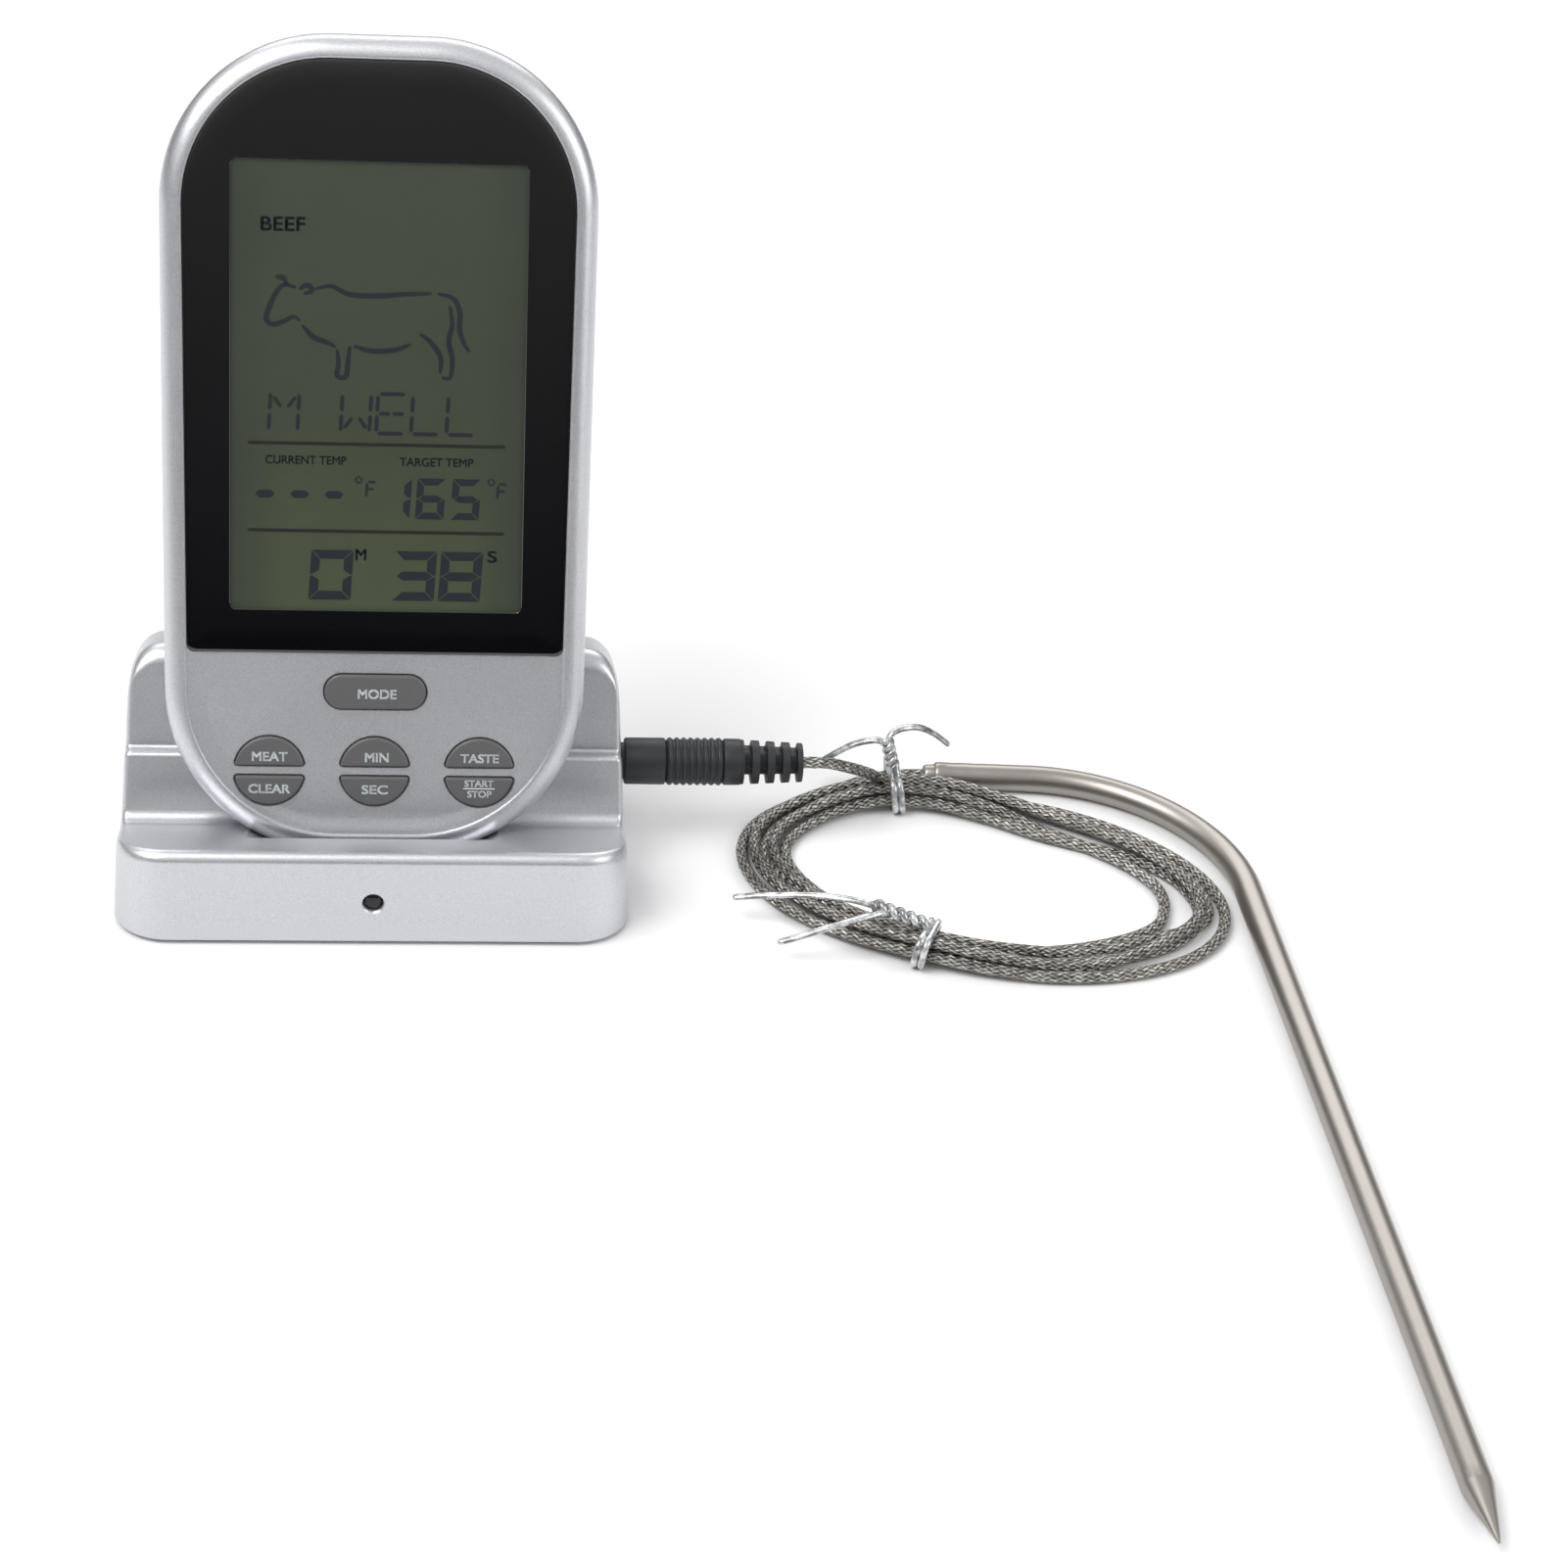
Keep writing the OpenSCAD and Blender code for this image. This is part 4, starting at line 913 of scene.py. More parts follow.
class THERMOMETER_OT_display(bpy.types.Operator):
    """Display: its ground and what it shows as thin plates, with a plain drawing of a steer"""
    bl_idname = "thermometer.display"
    bl_label = "Display picture"

    def execute(self, context):
        screen = context.scene.thermometer_display
        ground = stack("display_ground", corners(-24.5, 24.5, 40.4, 114.6, 1.3), [(0, 3.9), (0, 4.62), (0.08, 4.7)])
        dress(ground, "receiver", "display_glass")
        shapes = []
        for k, char in enumerate(screen.doneness):
            shapes += letter(char, (-17.5, -11.8, -6.0, -0.3, 5.3, 11.0)[k], 70.4)
        for x0 in (-19.6, -14.0, -8.5):
            shapes.append(bar((x0, 60.25), (x0 + 3.1, 60.25), 1.25))
        for k, char in enumerate(screen.target):
            wide = 4.6 if char != "1" else 1.3
            shapes += digit(char, (3.9, 6.1, 11.8)[k], 56.5, wide, 6.7, 1.12)
        for char, x in (("0", -11.0), ("3", 2.5), ("8", 10.0)):
            shapes += digit(char, x, 43.0, 6.8, 8.2, 1.45)
        turn = np.radians(np.arange(0, 360, 20))
        ring = np.stack([np.cos(turn), np.sin(turn)], -1)
        for x in (-3.0, 18.4):
            shapes += [np.array([0.62 * p, 0.62 * q, 0.36 * q, 0.36 * p]) + (x, 62.75)
                       for p, q in zip(ring, np.roll(ring, -1, 0))]
        for x in (-1.9, 19.3):
            shapes += [bar((x + 0.1, 60.0), (x + 0.25, 62.3), 0.42), bar((x + 0.3, 62.45), (x + 1.7, 62.45), 0.42),
                       bar((x + 0.3, 61.3), (x + 1.4, 61.3), 0.42)]
        shown = [plates("display_segments", shapes, INK_LOW, INK_TOP),
                 plates("display_steer", [stroke(line, 0.85) for line in STEER], INK_LOW, INK_TOP)]
        shown.append(join("display_words", [
            words("w", text, centre, height, INK_LOW, width, bold, INK_TOP - INK_LOW)
            for text, centre, height, width, bold in (
                ("BEEF", (-15.3, 103.6), 2.3, 7.1, 0.07), ("CURRENT TEMP", (-11.5, 65.85), 1.4, 13.0, 0.03),
                ("TARGET TEMP", (9.5, 65.85), 1.4, 11.9, 0.03), ("M", (-2.55, 50.5), 1.9, 1.75, 0.05),
                ("S", (18.75, 50.5), 1.95, 1.6, 0.06))]))
        for piece in shown:
            dress(piece, "receiver", "display_glass", finish="display_ink")
        rules = [stack("rule", corners(-20.8, 20.6, v - 0.27, v + 0.27, 0.26), [(0, INK_LOW), (0, INK_TOP)], steps=6)
                 for v in (68.55, 54.3)]
        dress(join("display_rules", rules), "receiver", "display_glass", finish="display_rule")
        return {"FINISHED"}


class THERMOMETER_OT_buttons(bpy.types.Operator):
    """Seven buttons: rounded caps with a flange behind the cover and raised generic words"""
    bl_idname = "thermometer.buttons"
    bl_label = "Buttons"

    def execute(self, context):
        for name, (arcs, behind, text, centre, height, width) in BUTTONS.items():
            cap = stack(name + "_cap", arcs, [(-0.8, 1.45), (-0.8, 2.45), (0.0, 2.5), (0.0, 4.86), (0.05, 5.0),
                                              (0.17, 5.13), (0.34, BUTTON_TOP), (0.44, BUTTON_TOP)], steps=16)
            stems = [lathe("stem", [(0, 1.25), (1.2, 1.4)], leaned((x, v, 0.92)), (0, -COS, SIN), 24)
                     for x, v in behind]
            body = name if name in frame["bodies"] else "receiver"
            dress(join(name + "_key", [cap, *stems]), body, "button_grey", name)
            top = BUTTON_TOP - 0.005
            if text:
                label = words(name + "_word", text, centre, height, top, width, 0.05)
            else:
                x, v = centre
                label = join(name + "_word", [
                    words("w", "START", (x, v + 1.0), 1.15, top, 4.8, 0.035),
                    words("w", "STOP", (x + 0.1, v - 0.8), 1.15, top, 4.0, 0.035),
                    stack("w", corners(x - 2.6, x + 2.6, v + 0.06, v + 0.22, 0.07), [(0, top), (0, top + 0.03)],
                          steps=3)])
            dress(label, body, "button_grey", finish="lettering")
        return {"FINISHED"}


class THERMOMETER_OT_receiver_fittings(bpy.types.Operator):
    """Battery lid, belt clip and its torsion spring"""
    bl_idname = "thermometer.receiver_fittings"
    bl_label = "Lid and belt clip"

    def execute(self, context):
        lid = stack("battery_lid", corners(-24, 24, 38, 62.6, 0.9),
                    [(0.1, -14.9), (0, -15.0), (0, -16.25), (0.08, -16.42), (0.3, -16.5)])
        edge = lathe("edge", [(0, 0.75), (0.15, 0.9), (47.85, 0.9), (48, 0.75)], leaned((-24, 38, -15.7)))
        combine(lid, [edge], "UNION")
        grooves = [stack("groove", corners(-7, 7, 54.6 + k * 1.6, 55.4 + k * 1.6, 0.39),
                         [(0.2, -16.1), (0.0, -16.3), (-0.1, -17)], steps=6) for k in range(4)]
        combine(lid, grooves)
        dress(clean(lid), "receiver_battery_lid", "silver_plastic", "receiver_battery_lid")

        shape = np.array([(0, 74), (9, 74), (9, 103), (9, 116.5), (4.6, 121.4), (4.6, 129.2), (0, 129.2)], float)
        side = fillet(shape, np.array([8.6, 30, 5, 3, 1.4]), 10)
        flat = np.concatenate([side, (side * (-1, 1))[::-1][1:-1]])
        middle = flat.mean(0)
        rings = []
        for inset, off in ((0.35, -21.0), (0.1, -20.92), (0, -20.7), (0, -19.9), (0.1, -19.68), (0.35, -19.6)):
            way = flat - middle
            shrink = 1 - inset / np.maximum(np.linalg.norm(way, axis=1, keepdims=True), 1)
            rings.append(leaned(np.column_stack([middle + way * shrink, np.full(len(flat), off)])))
        clip = loft("clip_plate", np.array(rings))
        gaps = [stack("gap", corners(s * 7 - 1.4, s * 7 + 1.4, 108.4, 115.6, 0.5), [(0, -25), (0, -17)])
                for s in (-1, 1)]
        combine(clip, gaps)
        barrel = lathe("barrel", [(0, 1.75), (0.15, 1.9), (8.95, 1.9), (9.1, 1.75)],
                       leaned((-3.4, CLIP_V, CLIP_OFF)))
        web = stack("web", corners(-3.4, 5.7, 110.2, 113.8, 0.3), [(0, -19.7), (0, -18.7)])
        bore = lathe("bore", [(0, 1.18), (12, 1.18)], leaned((-5, CLIP_V, CLIP_OFF)))
        combine(barrel, [web], "UNION")
        combine(barrel, [bore])
        toe = stack("toe", corners(-6, 6, 76, 77.6, 0.6), [(0.3, -16.9), (0, -17.1), (0, -19.7)])
        ribs = [stack("rib", corners(k * 1.8 - 0.5, k * 1.8 + 0.5, 121.9, 129.15, 0.45),
                      [(0, -20.9), (0, -21.35), (0.12, -21.6), (0.35, -21.7)], steps=6) for k in range(-2, 3)]
        dress(join("clip", [clean(clip), clean(barrel), toe, *ribs]), "belt_clip", "silver_plastic", "belt_clip")

        turn = np.linspace(0, 2 * math.pi * 4.5, 180)
        coil = np.column_stack([np.linspace(-5.5, -3.9, 180), 1.62 * np.cos(turn), 1.62 * np.sin(turn)])
        coil = leaned(coil + (0, CLIP_V, CLIP_OFF))
        dress(sweep("clip_torsion_spring", coil, 0.17, 8, ref=(1, 0, 0)), "receiver", "spring_steel", "clip_spring")
        return {"FINISHED"}


# ---- Dock ----

def dock_solid(name, wall, bottom, round_edge=1.1):
    """The dock's outside moved inwards by wall. Columns run across x, each a closed side view. In a column the
    front and back stand on the quarter circles of the plan's corners, the block's top falls along the quarter
    circle of its shoulder, the front lip follows the plan, and tray, risers and ledge lie square or parallel
    to the receiver. The sides draw in towards the top, and near them the upper faces sink along a small arc."""
    a = np.radians(np.linspace(0, 90, 22)[1:])
    flank, bend = DOCK_X - DOCK_CORNER, DOCK_CORNER - wall
    x0 = np.concatenate([np.linspace(0, flank, 9), flank + bend * np.sin(a)])
    depth = np.concatenate([np.full(9, DOCK_Y - wall), DOCK_Y - DOCK_CORNER + bend * np.cos(a)])
    x0, depth = np.concatenate([-x0[:0:-1], x0]), np.concatenate([depth[:0:-1], depth])
    ax = np.abs(x0)
    reach = SHOULDER_R - wall
    top = SHOULDER_V + np.sqrt(np.maximum(reach ** 2 - np.maximum(ax - (DOCK_X - SHOULDER_R), 0) ** 2, 0))
    over = np.clip((ax - (DOCK_X - wall - round_edge)) / round_edge, 0, 1)
    sink = round_edge * (1 - np.sqrt(1 - over ** 2)) if wall == 0 else np.zeros_like(ax)
    t = wall + sink
    lip = -depth + 0.8

    def on_plane(v, off):
        return leaned(np.stack(np.broadcast_arrays(ax, v, off), -1))[..., 1:]

    tray = 3.65 - t
    lip_z = FOOT_Z + tray * COS + TAN * (FOOT_Y + tray * SIN - lip)
    back_z = 14 - wall + (DOCK_Y - wall - depth) * 0.55
    line = np.stack([
        np.stack([-depth, np.full_like(ax, bottom)], -1), np.stack([-depth, np.full_like(ax, 3.0)], -1),
        np.stack([lip + sink * 0.4, lip_z], -1), on_plane(tray, -3 - t), on_plane(15.4 - t, -3 - t),
        on_plane(15.4 - t, -6 - t), on_plane(top - t + wall, -6 - t), on_plane(top - t + wall, -20 + t),
        np.stack([depth, back_z], -1), np.stack([depth, np.full_like(ax, bottom)], -1)], 1)
    radii = np.array([0.8, 1.7, 2.2, 0.9, 0.7, 3.2, 3.6, 3.0]) * np.ones((len(ax), 1))
    line = fillet(line, radii, 6)
    v = (line[..., 0] - FOOT_Y) * SIN + (line[..., 1] - FOOT_Z) * COS
    draft = 1.5 * (v + 8) / 33.8 * (np.clip((ax - 30) / 12.4, 0, 1) ** 2)[:, None]
    x = np.sign(x0)[:, None] * (ax[:, None] - draft)
    return loft(name, np.concatenate([x[..., None], line], -1), crease=30)


def receiver_solid(name, grow):
    """The receiver's outside, grown all round and run on forwards, as the tool that makes its pocket."""
    return stack(name, RECEIVER, [(-grow, 8)] + back_profile(grow), steps=20)


class THERMOMETER_OT_dock(bpy.types.Operator):
    """Dock housing: tray, ledge and shoulders round the receiver's pocket, hollow below, with its openings"""
    bl_idname = "thermometer.dock"
    bl_label = "Dock housing"

    def execute(self, context):
        housing = dock_solid("dock", 0.0, 0.8)
        cavity = dock_solid("cavity", 1.8, -2.0)
        posts = [lathe("post", [(2.7, 2.6), (40, 2.6)], (x, y, 0), (0, 0, 1), 32) for x, y in DOCK_FEET]
        combine(cavity, [receiver_solid("wall", 1.9), *posts])
        holes = [lathe("pilot", [(-1, 1), (9.5, 1), (10, 0.6)], (x, y, 0), (0, 0, 1), 24) for x, y in DOCK_FEET]
        led = lathe("led_hole", [(-1, 2.2), (0.45, 1.95), (0.75, 1.72), (1.0, 1.65), (5, 1.65)], (0, -30.3, LED_Z),
                    axis=(0, 1, 0), sides=40)
        jack = lathe("jack_hole", [(0, 3.4), (6, 3.4)], (37.4, PLUG_Y, PLUG_Z), sides=40)
        notch = stack("notch", corners(-25.1, 25.1, 25, 33, 0.5), [(0, 0), (0, 2.1)], place=straight)
        slot = stack("slot", corners(-32.8, -26.4, 7.4, 10.0, 0.4), [(0, 25), (0, 33)],
                     place=lambda p: np.asarray(p)[..., [0, 2, 1]])
        combine(housing, [cavity, receiver_solid("pocket", 0.4), led, jack, notch, slot, *holes])
        dress(clean(housing, 28), "dock", "silver_plastic", "dock_housing")

        lamp = lathe("status_lamp", [(0, 1.45), (3.7, 1.52), (3.95, 1.48), (4.12, 1.38), (4.28, 1.15), (4.4, 0.8),
                                     (4.46, 0.4), (4.48, 0.06)], (0, -25.0, LED_Z), axis=(0, -1, 0), sides=40)
        collar = lathe("collar", [(0, 1.9), (0.9, 1.9)], (0, -26.3, LED_Z), axis=(0, -1, 0), sides=32)
        dress(join("status_window", [lamp, collar]), "dock", "black_gloss", "status_led")
        return {"FINISHED"}


# ---- Probe lead ----

def ease(x):
    x = np.clip(x, 0, 1)
    return x * x * (3 - 2 * x)


def coil_path(spread, turns=4.925, per_turn=24):
    """The coil's centreline. It runs clockwise round an oval. Each turn lies in one of six places across the
    band and slides to the next place once in nine tenths of a turn, so no two turns share a place. The places
    stand apart by their distance from the ties, and upper turns sink into the valleys as those widen."""
    n = int(round(turns * per_turn)) + 1
    tau = np.linspace(0.02, turns, n)
    phi = np.radians(115) - 2 * np.pi * tau
    near = np.zeros_like(tau)
    for tie in TIE_ANGLES:
        gap = np.angle(np.exp(1j * (phi - math.radians(tie))))
        near = np.maximum(near, np.exp(-(gap / 0.55) ** 2))
    side = np.cos(phi)
    s = 1 + spread * (1 - near) * (1.15 + 0.45 * side)
    place = sum(ease((tau - at) / 0.13 + 0.5) for at in (0.45, 1.35, 2.25, 3.15, 4.05))
    lateral = np.interp(place, range(6), (0, 1.05, -1.05, -2.1, 0, 2.1))
    level = np.interp(place, range(6), (2, 1, 1, 0, 0, 0))
    valley = np.sqrt(np.maximum(4.1 - (1.05 * s) ** 2, 0))
    z = 1.08 + 1.15 * near ** 2 + np.clip(level, 0, 1) * (valley + 0.2 * (valley > 0))
    z += np.clip(level - 1, 0, 1) * np.maximum(valley, 2.0 - valley)
    wander = 0.35 * (s - 1) * np.sin(phi * 2 + tau * 4.1)
    out = lateral * s - 2.1 * (s - 1) + wander
    cx, cy = COIL_A * np.cos(phi), COIL_B * np.sin(phi)
    nx, ny = COIL_B * np.cos(phi), COIL_A * np.sin(phi)
    size = np.hypot(nx, ny)
    px, py = cx + out * nx / size, cy + out * ny / size
    c, sn = math.cos(COIL_TURN), math.sin(COIL_TURN)
    start = 1 - ease(tau / 0.09)
    z = z * (1 - start) + start * 5.3
    return np.stack([COIL_CENTRE[0] + px * c - py * sn, COIL_CENTRE[1] + px * sn + py * c, z], -1)


def tie_frame(angle):
    """Middle of the band at an angle of the oval, with the directions along the coil and outwards."""
    a = math.radians(angle)
    c, s = math.cos(COIL_TURN), math.sin(COIL_TURN)
    turn = np.array([[c, -s], [s, c]])
    mid = np.array(COIL_CENTRE) + turn @ (COIL_A * math.cos(a), COIL_B * math.sin(a))
    way = turn @ (-COIL_A * math.sin(a), COIL_B * math.cos(a))
    way /= np.linalg.norm(way)
    return mid, np.array([way[0], way[1], 0]), np.array([way[1], -way[0], 0])


def tie_loop(name, angle, inner, outer, top, lean=0.0):
    """Two wires side by side round the band: rounded boxes across the coil that drift along it a little."""
    mid, way, out = tie_frame(angle)
    flat = outline(corners(-inner, outer, 0.56, top, min(1.9, (top - 0.6) / 2 - 0.05)), steps=10)
    drift = np.sin(np.arctan2(flat[:, 1] - top / 2, flat[:, 0])) * lean
    loops = []
    for beside in (-0.6, 0.6):
        path = np.array([*mid, 0]) + flat[:, :1] * out + (drift[:, None] + beside) * way
        path[:, 2] = flat[:, 1]
        loops.append(sweep(name, path, TIE_WIRE, 12, ref=way, closed=True))
    return loops


def twist(name, start, end, radius, wire, turns, ref=(0, 0, 1)):
    """Two wires wound round one another from start to end."""
    start, end = np.array(start, float), np.array(end, float)
    d = end - start
    d /= np.linalg.norm(d)
    a = np.cross(d, ref)
    a /= np.linalg.norm(a)
    b = np.cross(d, a)
    s = np.linspace(0, 1, 70)[:, None]
    strands = []
    for phase in (0, math.pi):
        turn = 2 * math.pi * turns * s + phase
        path = start + (end - start) * s + radius * (np.cos(turn) * a + np.sin(turn) * b)
        path, size = round_ends(path, wire)
        strands.append(sweep(name, path, size, 10, ref=tuple(a + 0.31 * b)))
    return strands


def tail_line():
    """Direction of the probe's straight tail and the point where its bend begins."""
    a = math.radians(BEND_END)
    return np.array([-math.sin(a), math.cos(a)]), np.array(BEND_CENTRE) + BEND_R * np.array([math.cos(a), math.sin(a)])


class THERMOMETER_OT_cable(bpy.types.Operator):
    """Braided cable from the plug through its coil to the probe, the plug itself and the two wire ties"""
    bl_idname = "thermometer.cable"
    bl_label = "Braided cable"

    def execute(self, context):
        lead = context.scene.thermometer_lead
        d = lead.diameter / MM
        route = np.concatenate([np.array(LEAD_ROUTE) / MM, coil_path(lead.spread), np.array(TAIL_ROUTE) / MM])
        path = spline(route, 0.55)
        cable = sweep("braided_cable", path, d / 2, 14, uv_scale=1 / 2.1)
        dress(cable, "probe_lead", "braid", "probe_cable", "probe_cable_coil", "probe_cable_tail")
        pieces = self.plug() + self.ties() + self.sleeve()
        return {"FINISHED"}

    def plug(self):
        """The handle's ribs are half circles of pitch 1.2, and the relief's slots are smooth steps in the radius
        that a bridge at the lower back interrupts."""
        centre = (PLUG_X, PLUG_Y, PLUG_Z)
        line = [(-1.4, 3.0), (-1.3, 3.15), (-0.02, 3.2), (0.0, 3.72), (0.12, 3.9), (0.35, 4.0), (6.6, 4.02),
                (6.85, 3.97), (6.98, 3.8), (7.1, 3.55)]
        for k in range(8):
            for f in np.linspace(0.1, 0.9, 7):
                line.append((7.2 + 1.2 * (k + f), 3.55 + 0.55 * math.sin(math.pi * f) ** 0.7))
        line += [(16.85, 3.6), (16.95, 3.8), (17.1, 3.95), (17.3, 4.0), (19.75, 3.98), (19.95, 3.9), (20.0, 3.78)]
        grip = lathe("plug_handle", line, centre, sides=64)
        dress(grip, "probe_lead", "plug_rubber", "plug_grip")

        x = np.concatenate([[20.0], np.arange(20.02, 30.45, 0.085), [30.5, 30.58, 30.6]])
        r = 3.86 - (x - 20) * 0.048
        r[0] -= 0.15
        r[-2:] -= (0.06, 0.22)

        def slots(d, radius, a):
            pitch = 10.6 / 4
            cell = (d - 20.0) / pitch
            f = cell - np.floor(cell)
            edge = ease((0.25 - np.abs(f - 0.42)) / 0.05)
            return radius - 1.7 * edge * ease((0.75 - np.cos(a - math.radians(245))) / 0.2)

        relief = lathe("plug_relief", np.column_stack([x, r]), centre, sides=96, shape=slots, crease=40)
        dress(relief, "probe_lead", "plug_rubber", "plug_strain_relief")
        tip = [(-11.0, 0.35), (-10.9, 0.6), (-10.1, 1.02), (-9.8, 1.05), (-9.5, 0.78), (-9.2, 0.78),
               (-8.9, 1.15), (-8.7, 1.25), (-7.2, 1.25), (-7.15, 1.2), (-6.95, 1.2), (-6.9, 1.25), (-4.2, 1.25),
               (-4.15, 1.2), (-3.95, 1.2), (-3.9, 1.25), (0.0, 1.25)]
        pin = lathe("plug_contact", tip, centre, sides=48)
        dress(pin, "probe_lead", "plug_metal", "plug_pin")
        return [grip, relief, pin]

    def sleeve(self):
        way, end = tail_line()
        sleeve = lathe("cable_sleeve", [(-3.9, 1.9), (-0.2, 1.9), (1.2, 1.86), (1.7, 1.72), (1.95, 1.45), (2.0, 1.1)],
                       (*(end + PROBE_TAIL * way), PROBE_R), axis=(*way, 0), sides=40)
        dress(sleeve, "probe_lead", "probe_steel", "probe_ferrule")
        return [sleeve]

    def tails(self, lines, **look):
        """The ties' loose ends: round wires along curves, pressed a little flat."""
        found = []
        for points in lines:
            path, size = round_ends(spline(points, 0.5), TIE_WIRE)
            found.append(sweep("tail", path, size, 10, **look))
        return found

    def ties(self):
        far = tie_loop("loop", TIE_ANGLES[0], 4.2, 7.2, 6.4, 0.7)
        far += twist("pair", (91.0, 16.6, 6.2), (89.6, 17.4, 11.2), 0.7, 0.6, 1.9, ref=(1, 0, 0))
        far += self.tails([
            [(89.6, 17.2, 10.8), (90.4, 17.8, 12.3), (92.6, 18.8, 12.9), (95.6, 20.2, 12.2), (98.6, 21.4, 10.2),
             (101.3, 22.4, 7.6)],
            [(89.6, 17.4, 10.6), (87.6, 17.9, 10.9), (84.0, 18.4, 9.7), (80.4, 18.8, 7.2), (77.4, 19.0, 4.8)],
        ], ref=(0.1, 1, 0.2), squeeze=(0.8, 1.15))
        near = tie_loop("loop", TIE_ANGLES[1], 4.3, 4.4, 5.7, 0.6)
        near += twist("pair", (91.3, -32.4, 6.4), (82.6, -28.6, 7.8), 0.7, 0.6, 2.6)
        near += self.tails([
            [(83.2, -28.9, 7.6), (79.0, -27.4, 7.9), (72.5, -24.8, 7.0), (65.5, -22.6, 5.4), (60.4, -21.5, 4.2)],
            [(84.4, -29.6, 7.2), (80.4, -31.5, 7.0), (75.0, -33.1, 6.3), (70.0, -33.5, 4.6), (67.0, -33.5, 3.6)],
        ], squeeze=(1.15, 0.8))
        return [dress(join(name + "_wire_tie", wires), "probe_lead", "tie_wire", name + "_tie")
                for name, wires in (("far", far), ("near", near))]


class THERMOMETER_OT_probe(bpy.types.Operator):
    """Probe: a drawn steel tube crimped on the cable, bent once and ground to a point"""
    bl_idname = "thermometer.probe"
    bl_label = "Probe"

    def execute(self, context):
        """The centreline is a straight tail, a circular bend and a straight shaft. The radius pinches in two
        soft crimps on the tail and falls to the point along a cone with a rounded nose."""
        a0, a1 = math.radians(BEND_START), math.radians(BEND_END)
        centre = np.array(BEND_CENTRE)
        tail_way, tail_start = tail_line()
        s = np.linspace(PROBE_TAIL, 0, 56)[:, None]
        tail = tail_start + s * tail_way
        a = np.linspace(a1, a0, 60)[1:-1, None]
        bend = centre + BEND_R * np.concatenate([np.cos(a), np.sin(a)], 1)
        reach = np.concatenate([np.linspace(0, PROBE_SHAFT, 60), PROBE_SHAFT + np.linspace(0.15, 10.7, 24),
                                [157.3, 157.44, PROBE_END]])[:, None]
        shaft = centre + BEND_R * np.array([math.cos(a0), math.sin(a0)]) + reach * (math.sin(a0), -math.cos(a0))
        flat = np.concatenate([tail, bend, shaft])
        path = np.column_stack([flat, np.full(len(flat), PROBE_R)])
        r = np.full(len(path), PROBE_R)
        d = PROBE_TAIL - s[:, 0]
        pinch = np.exp(-((d - 3.4) / 1.3) ** 2) + np.exp(-((d - 7.2) / 1.3) ** 2)
        r[:len(s)] = PROBE_R - 0.03 - 0.05 * pinch
        r[:2] = PROBE_R - 0.35, PROBE_R - 0.1
        left = PROBE_END - reach[:, 0]
        cone = 0.18 + (PROBE_R - 0.18) * np.clip(left / 11, 0, 1) ** 0.94
        r[-len(reach):] = np.minimum(PROBE_R, cone)
        r[-3:] = (0.27, 0.16, 0.03)
        probe = sweep("probe_tube", path, r, 40, uv_scale=1.0)
        dress(probe, "probe_lead", "probe_steel", "probe_stem", "probe_tip")
        return {"FINISHED"}


# ---- CAD nodes that stay ----

class THERMOMETER_OT_frame_finishes(bpy.types.Operator):
    """Gives every CAD node that stays its own detailed finish"""
    bl_idname = "thermometer.frame_finishes"
    bl_label = "Frame finishes"

    def execute(self, context):
        slots = {entry["node"]: entry["material_slot"] for entry in frame["record"]["subparts"]}
        for name, node in frame["nodes"].items():
            node.data.materials.clear()
            node.data.materials.append(materials()[slots[name]])
        return {"FINISHED"}


# ---- Studio ----

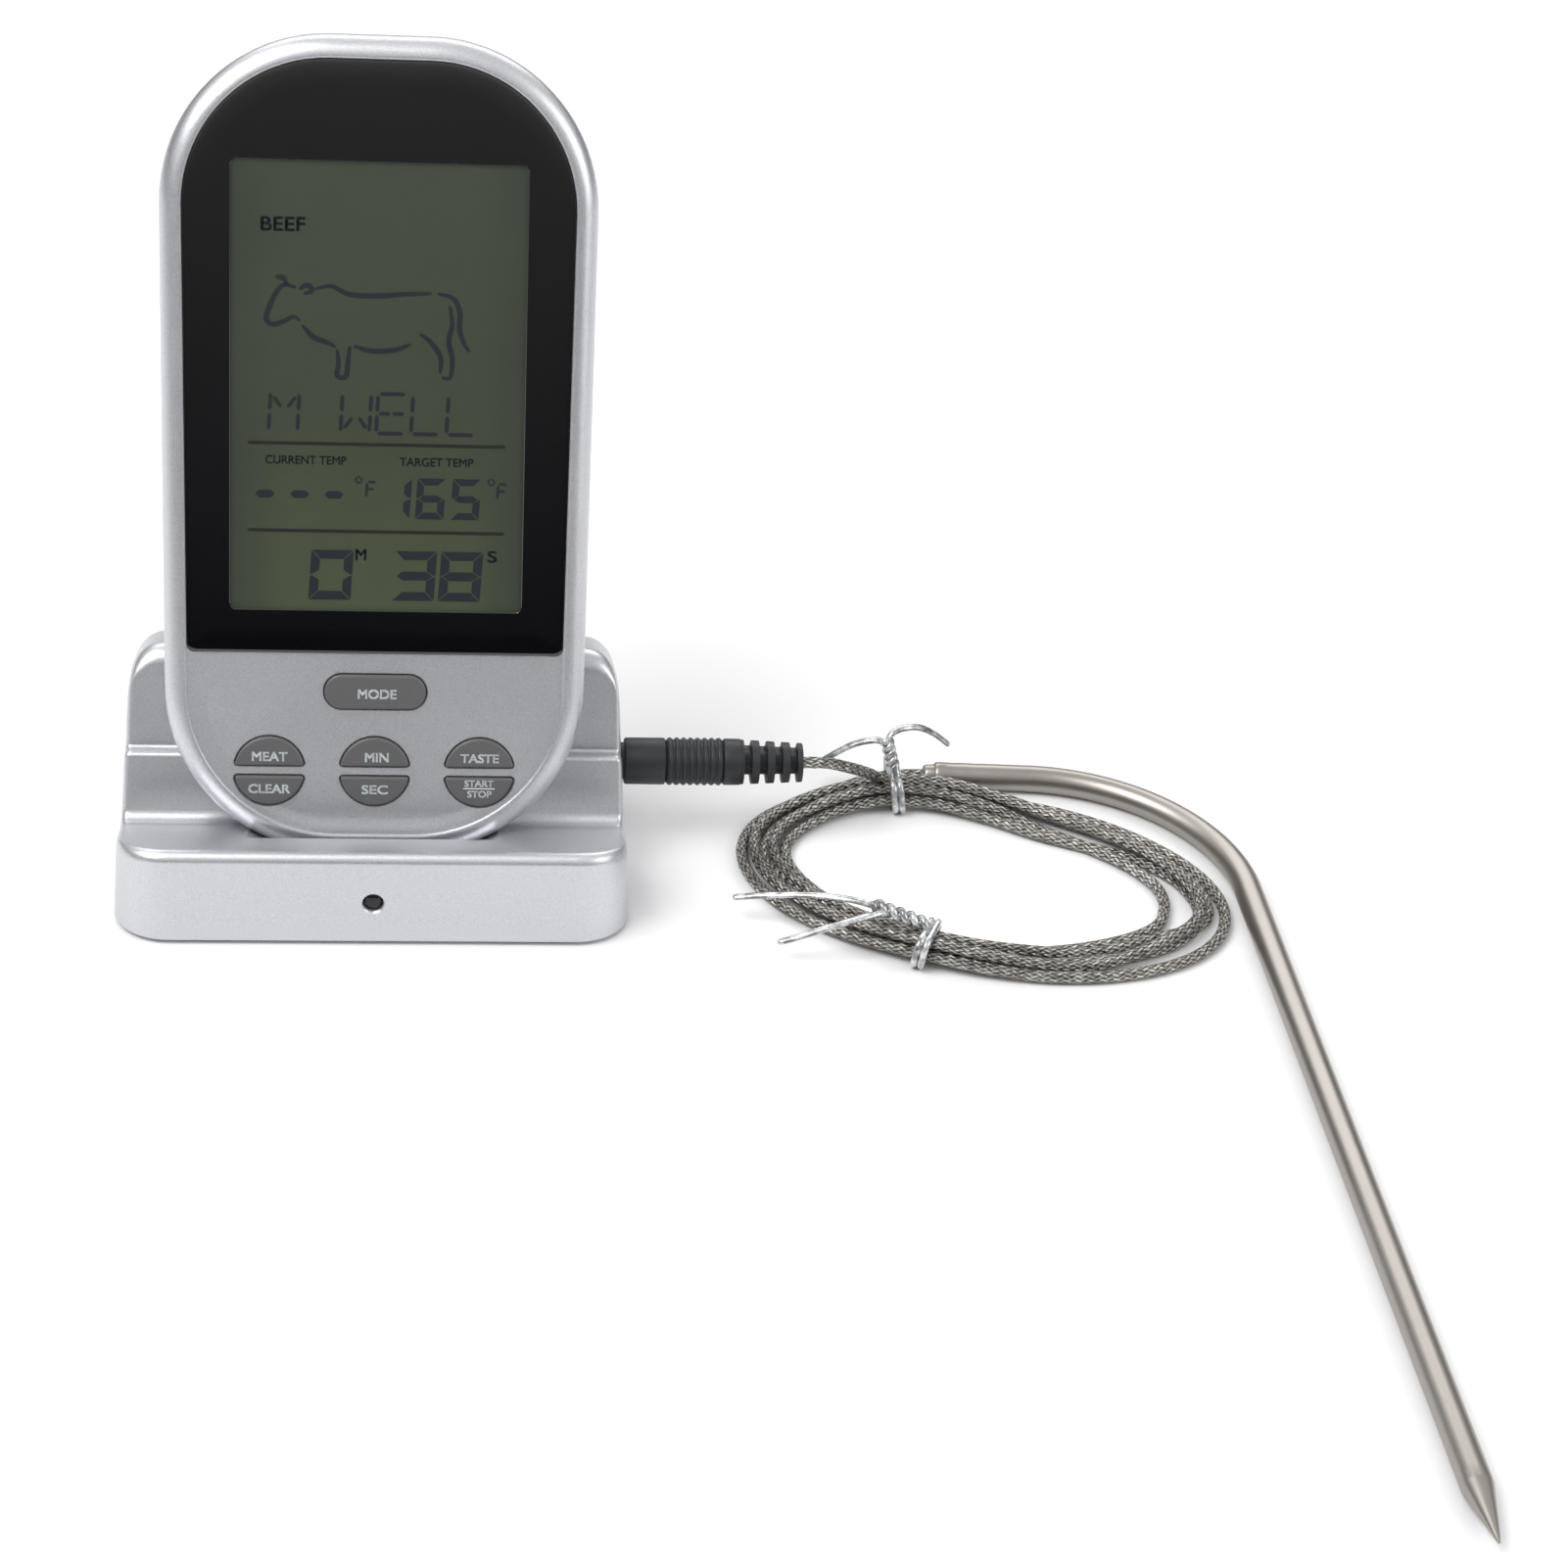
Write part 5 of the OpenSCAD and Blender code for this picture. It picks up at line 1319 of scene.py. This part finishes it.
class THERMOMETER_OT_studio(bpy.types.Operator):
    """Camera, pale table, soft lights and an even room"""
    bl_idname = "thermometer.studio"
    bl_label = "Studio"

    def execute(self, context):
        scene = context.scene
        studio = scene.thermometer_studio
        pitch, turn, roll = math.radians(PITCH), math.radians(TURN), math.radians(ROLL)
        ahead = Vector((math.sin(turn) * math.cos(pitch), math.cos(turn) * math.cos(pitch), -math.sin(pitch)))
        level = Vector((math.cos(turn), -math.sin(turn), 0))
        above = level.cross(ahead)
        right = math.cos(roll) * level + math.sin(roll) * above
        up = -math.sin(roll) * level + math.cos(roll) * above
        camera = add("camera", bpy.data.cameras.new("camera"))
        camera.matrix_world = Matrix.Translation(EYE) @ Matrix((right, up, -ahead)).transposed().to_4x4()
        camera.data.sensor_width, camera.data.lens = 36.0, FOCAL
        camera.data.clip_start, camera.data.clip_end = 0.01, 20
        scene.camera = camera

        square = np.array([(-1, -1), (1, -1), (1, 1), (-1, 1)], float) * 3000
        floor = plates("table", [square], -20, 0, place=straight)
        floor.data.materials.append(table_top("table", tuple(studio.floor)))

        world = bpy.data.worlds.new("room")
        world.use_nodes = True
        tree = world.node_tree
        look = tree.nodes.new("ShaderNodeTexCoord")
        high = tree.nodes.new("ShaderNodeSeparateXYZ")
        rise = tree.nodes.new("ShaderNodeValToRGB")
        ramp = rise.color_ramp.elements
        stops = [ramp[0], ramp[1], ramp.new(0.3), ramp.new(0.5)]
        for stop, at, bright in zip(stops, (0.12, 0.75, 0.28, 0.5), (0.0, 1.0, 0.28, 0.95)):
            stop.position, stop.color = at, (bright, bright, bright, 1)
        tree.links.new(look.outputs["Generated"], high.inputs[0])
        tree.links.new(high.outputs["Z"], rise.inputs[0])
        tree.links.new(rise.outputs[0], tree.nodes["Background"].inputs[0])
        tree.nodes["Background"].inputs[1].default_value = studio.sky
        scene.world = world
        self.light("key", (-0.55, -0.25, 0.95), (0.0, 0.0, 0.05), 0.7, 0.7, studio.key)
        self.light("fill", (0.95, -0.35, 0.55), (0.05, 0.0, 0.03), 0.5, 0.7, studio.key * 0.4)
        self.light("rear", (0.1, 0.9, 0.75), (0.05, 0.0, 0.04), 1.2, 0.5, studio.key * 0.5)
        scene.view_settings.view_transform = "Standard"
        scene.view_settings.look = "None"
        return {"FINISHED"}

    def light(self, name, at, to, width, height, power):
        lamp = bpy.data.lights.new(name, "AREA")
        lamp.shape, lamp.size, lamp.size_y, lamp.energy = "RECTANGLE", width, height, power
        thing = add(name, lamp)
        thing.location = at
        thing.rotation_euler = (Vector(to) - Vector(at)).to_track_quat("-Z", "Y").to_euler()


class THERMOMETER_PT_panel(bpy.types.Panel):
    bl_idname = "THERMOMETER_PT_panel"
    bl_label = "Meat Thermometer"
    bl_space_type = "VIEW_3D"
    bl_region_type = "UI"
    bl_category = "Thermometer"

    def draw(self, context):
        layout, scene = self.layout, context.scene
        for group in ("paint", "display", "lead", "studio"):
            box = layout.box()
            settings = getattr(scene, "thermometer_" + group)
            for key in settings.bl_rna.properties.keys():
                if key not in ("rna_type", "name"):
                    box.prop(settings, key)
        for step in STEPS:
            layout.operator("thermometer." + step)


STEPS = ("studio", "cable", "probe", "dock", "receiver_front", "receiver_back", "lens", "display", "buttons",
         "receiver_fittings", "frame_finishes")
GROUPS = {"paint": PaintSettings, "display": DisplaySettings, "lead": LeadSettings, "studio": StudioSettings}
CLASSES = (
    *GROUPS.values(), THERMOMETER_OT_studio, THERMOMETER_OT_cable, THERMOMETER_OT_probe, THERMOMETER_OT_dock,
    THERMOMETER_OT_receiver_front, THERMOMETER_OT_receiver_back, THERMOMETER_OT_lens, THERMOMETER_OT_display,
    THERMOMETER_OT_buttons, THERMOMETER_OT_receiver_fittings, THERMOMETER_OT_frame_finishes,
    THERMOMETER_PT_panel)


def register():
    for cls in CLASSES:
        bpy.utils.register_class(cls)
    for name, group in GROUPS.items():
        setattr(bpy.types.Scene, "thermometer_" + name, PointerProperty(type=group))


def unregister():
    for name in GROUPS:
        delattr(bpy.types.Scene, "thermometer_" + name)
    for cls in reversed(CLASSES):
        bpy.utils.unregister_class(cls)


def main():
    register()
    for step in STEPS:
        getattr(bpy.ops.thermometer, step)()


if __name__ == "__main__":
    main()
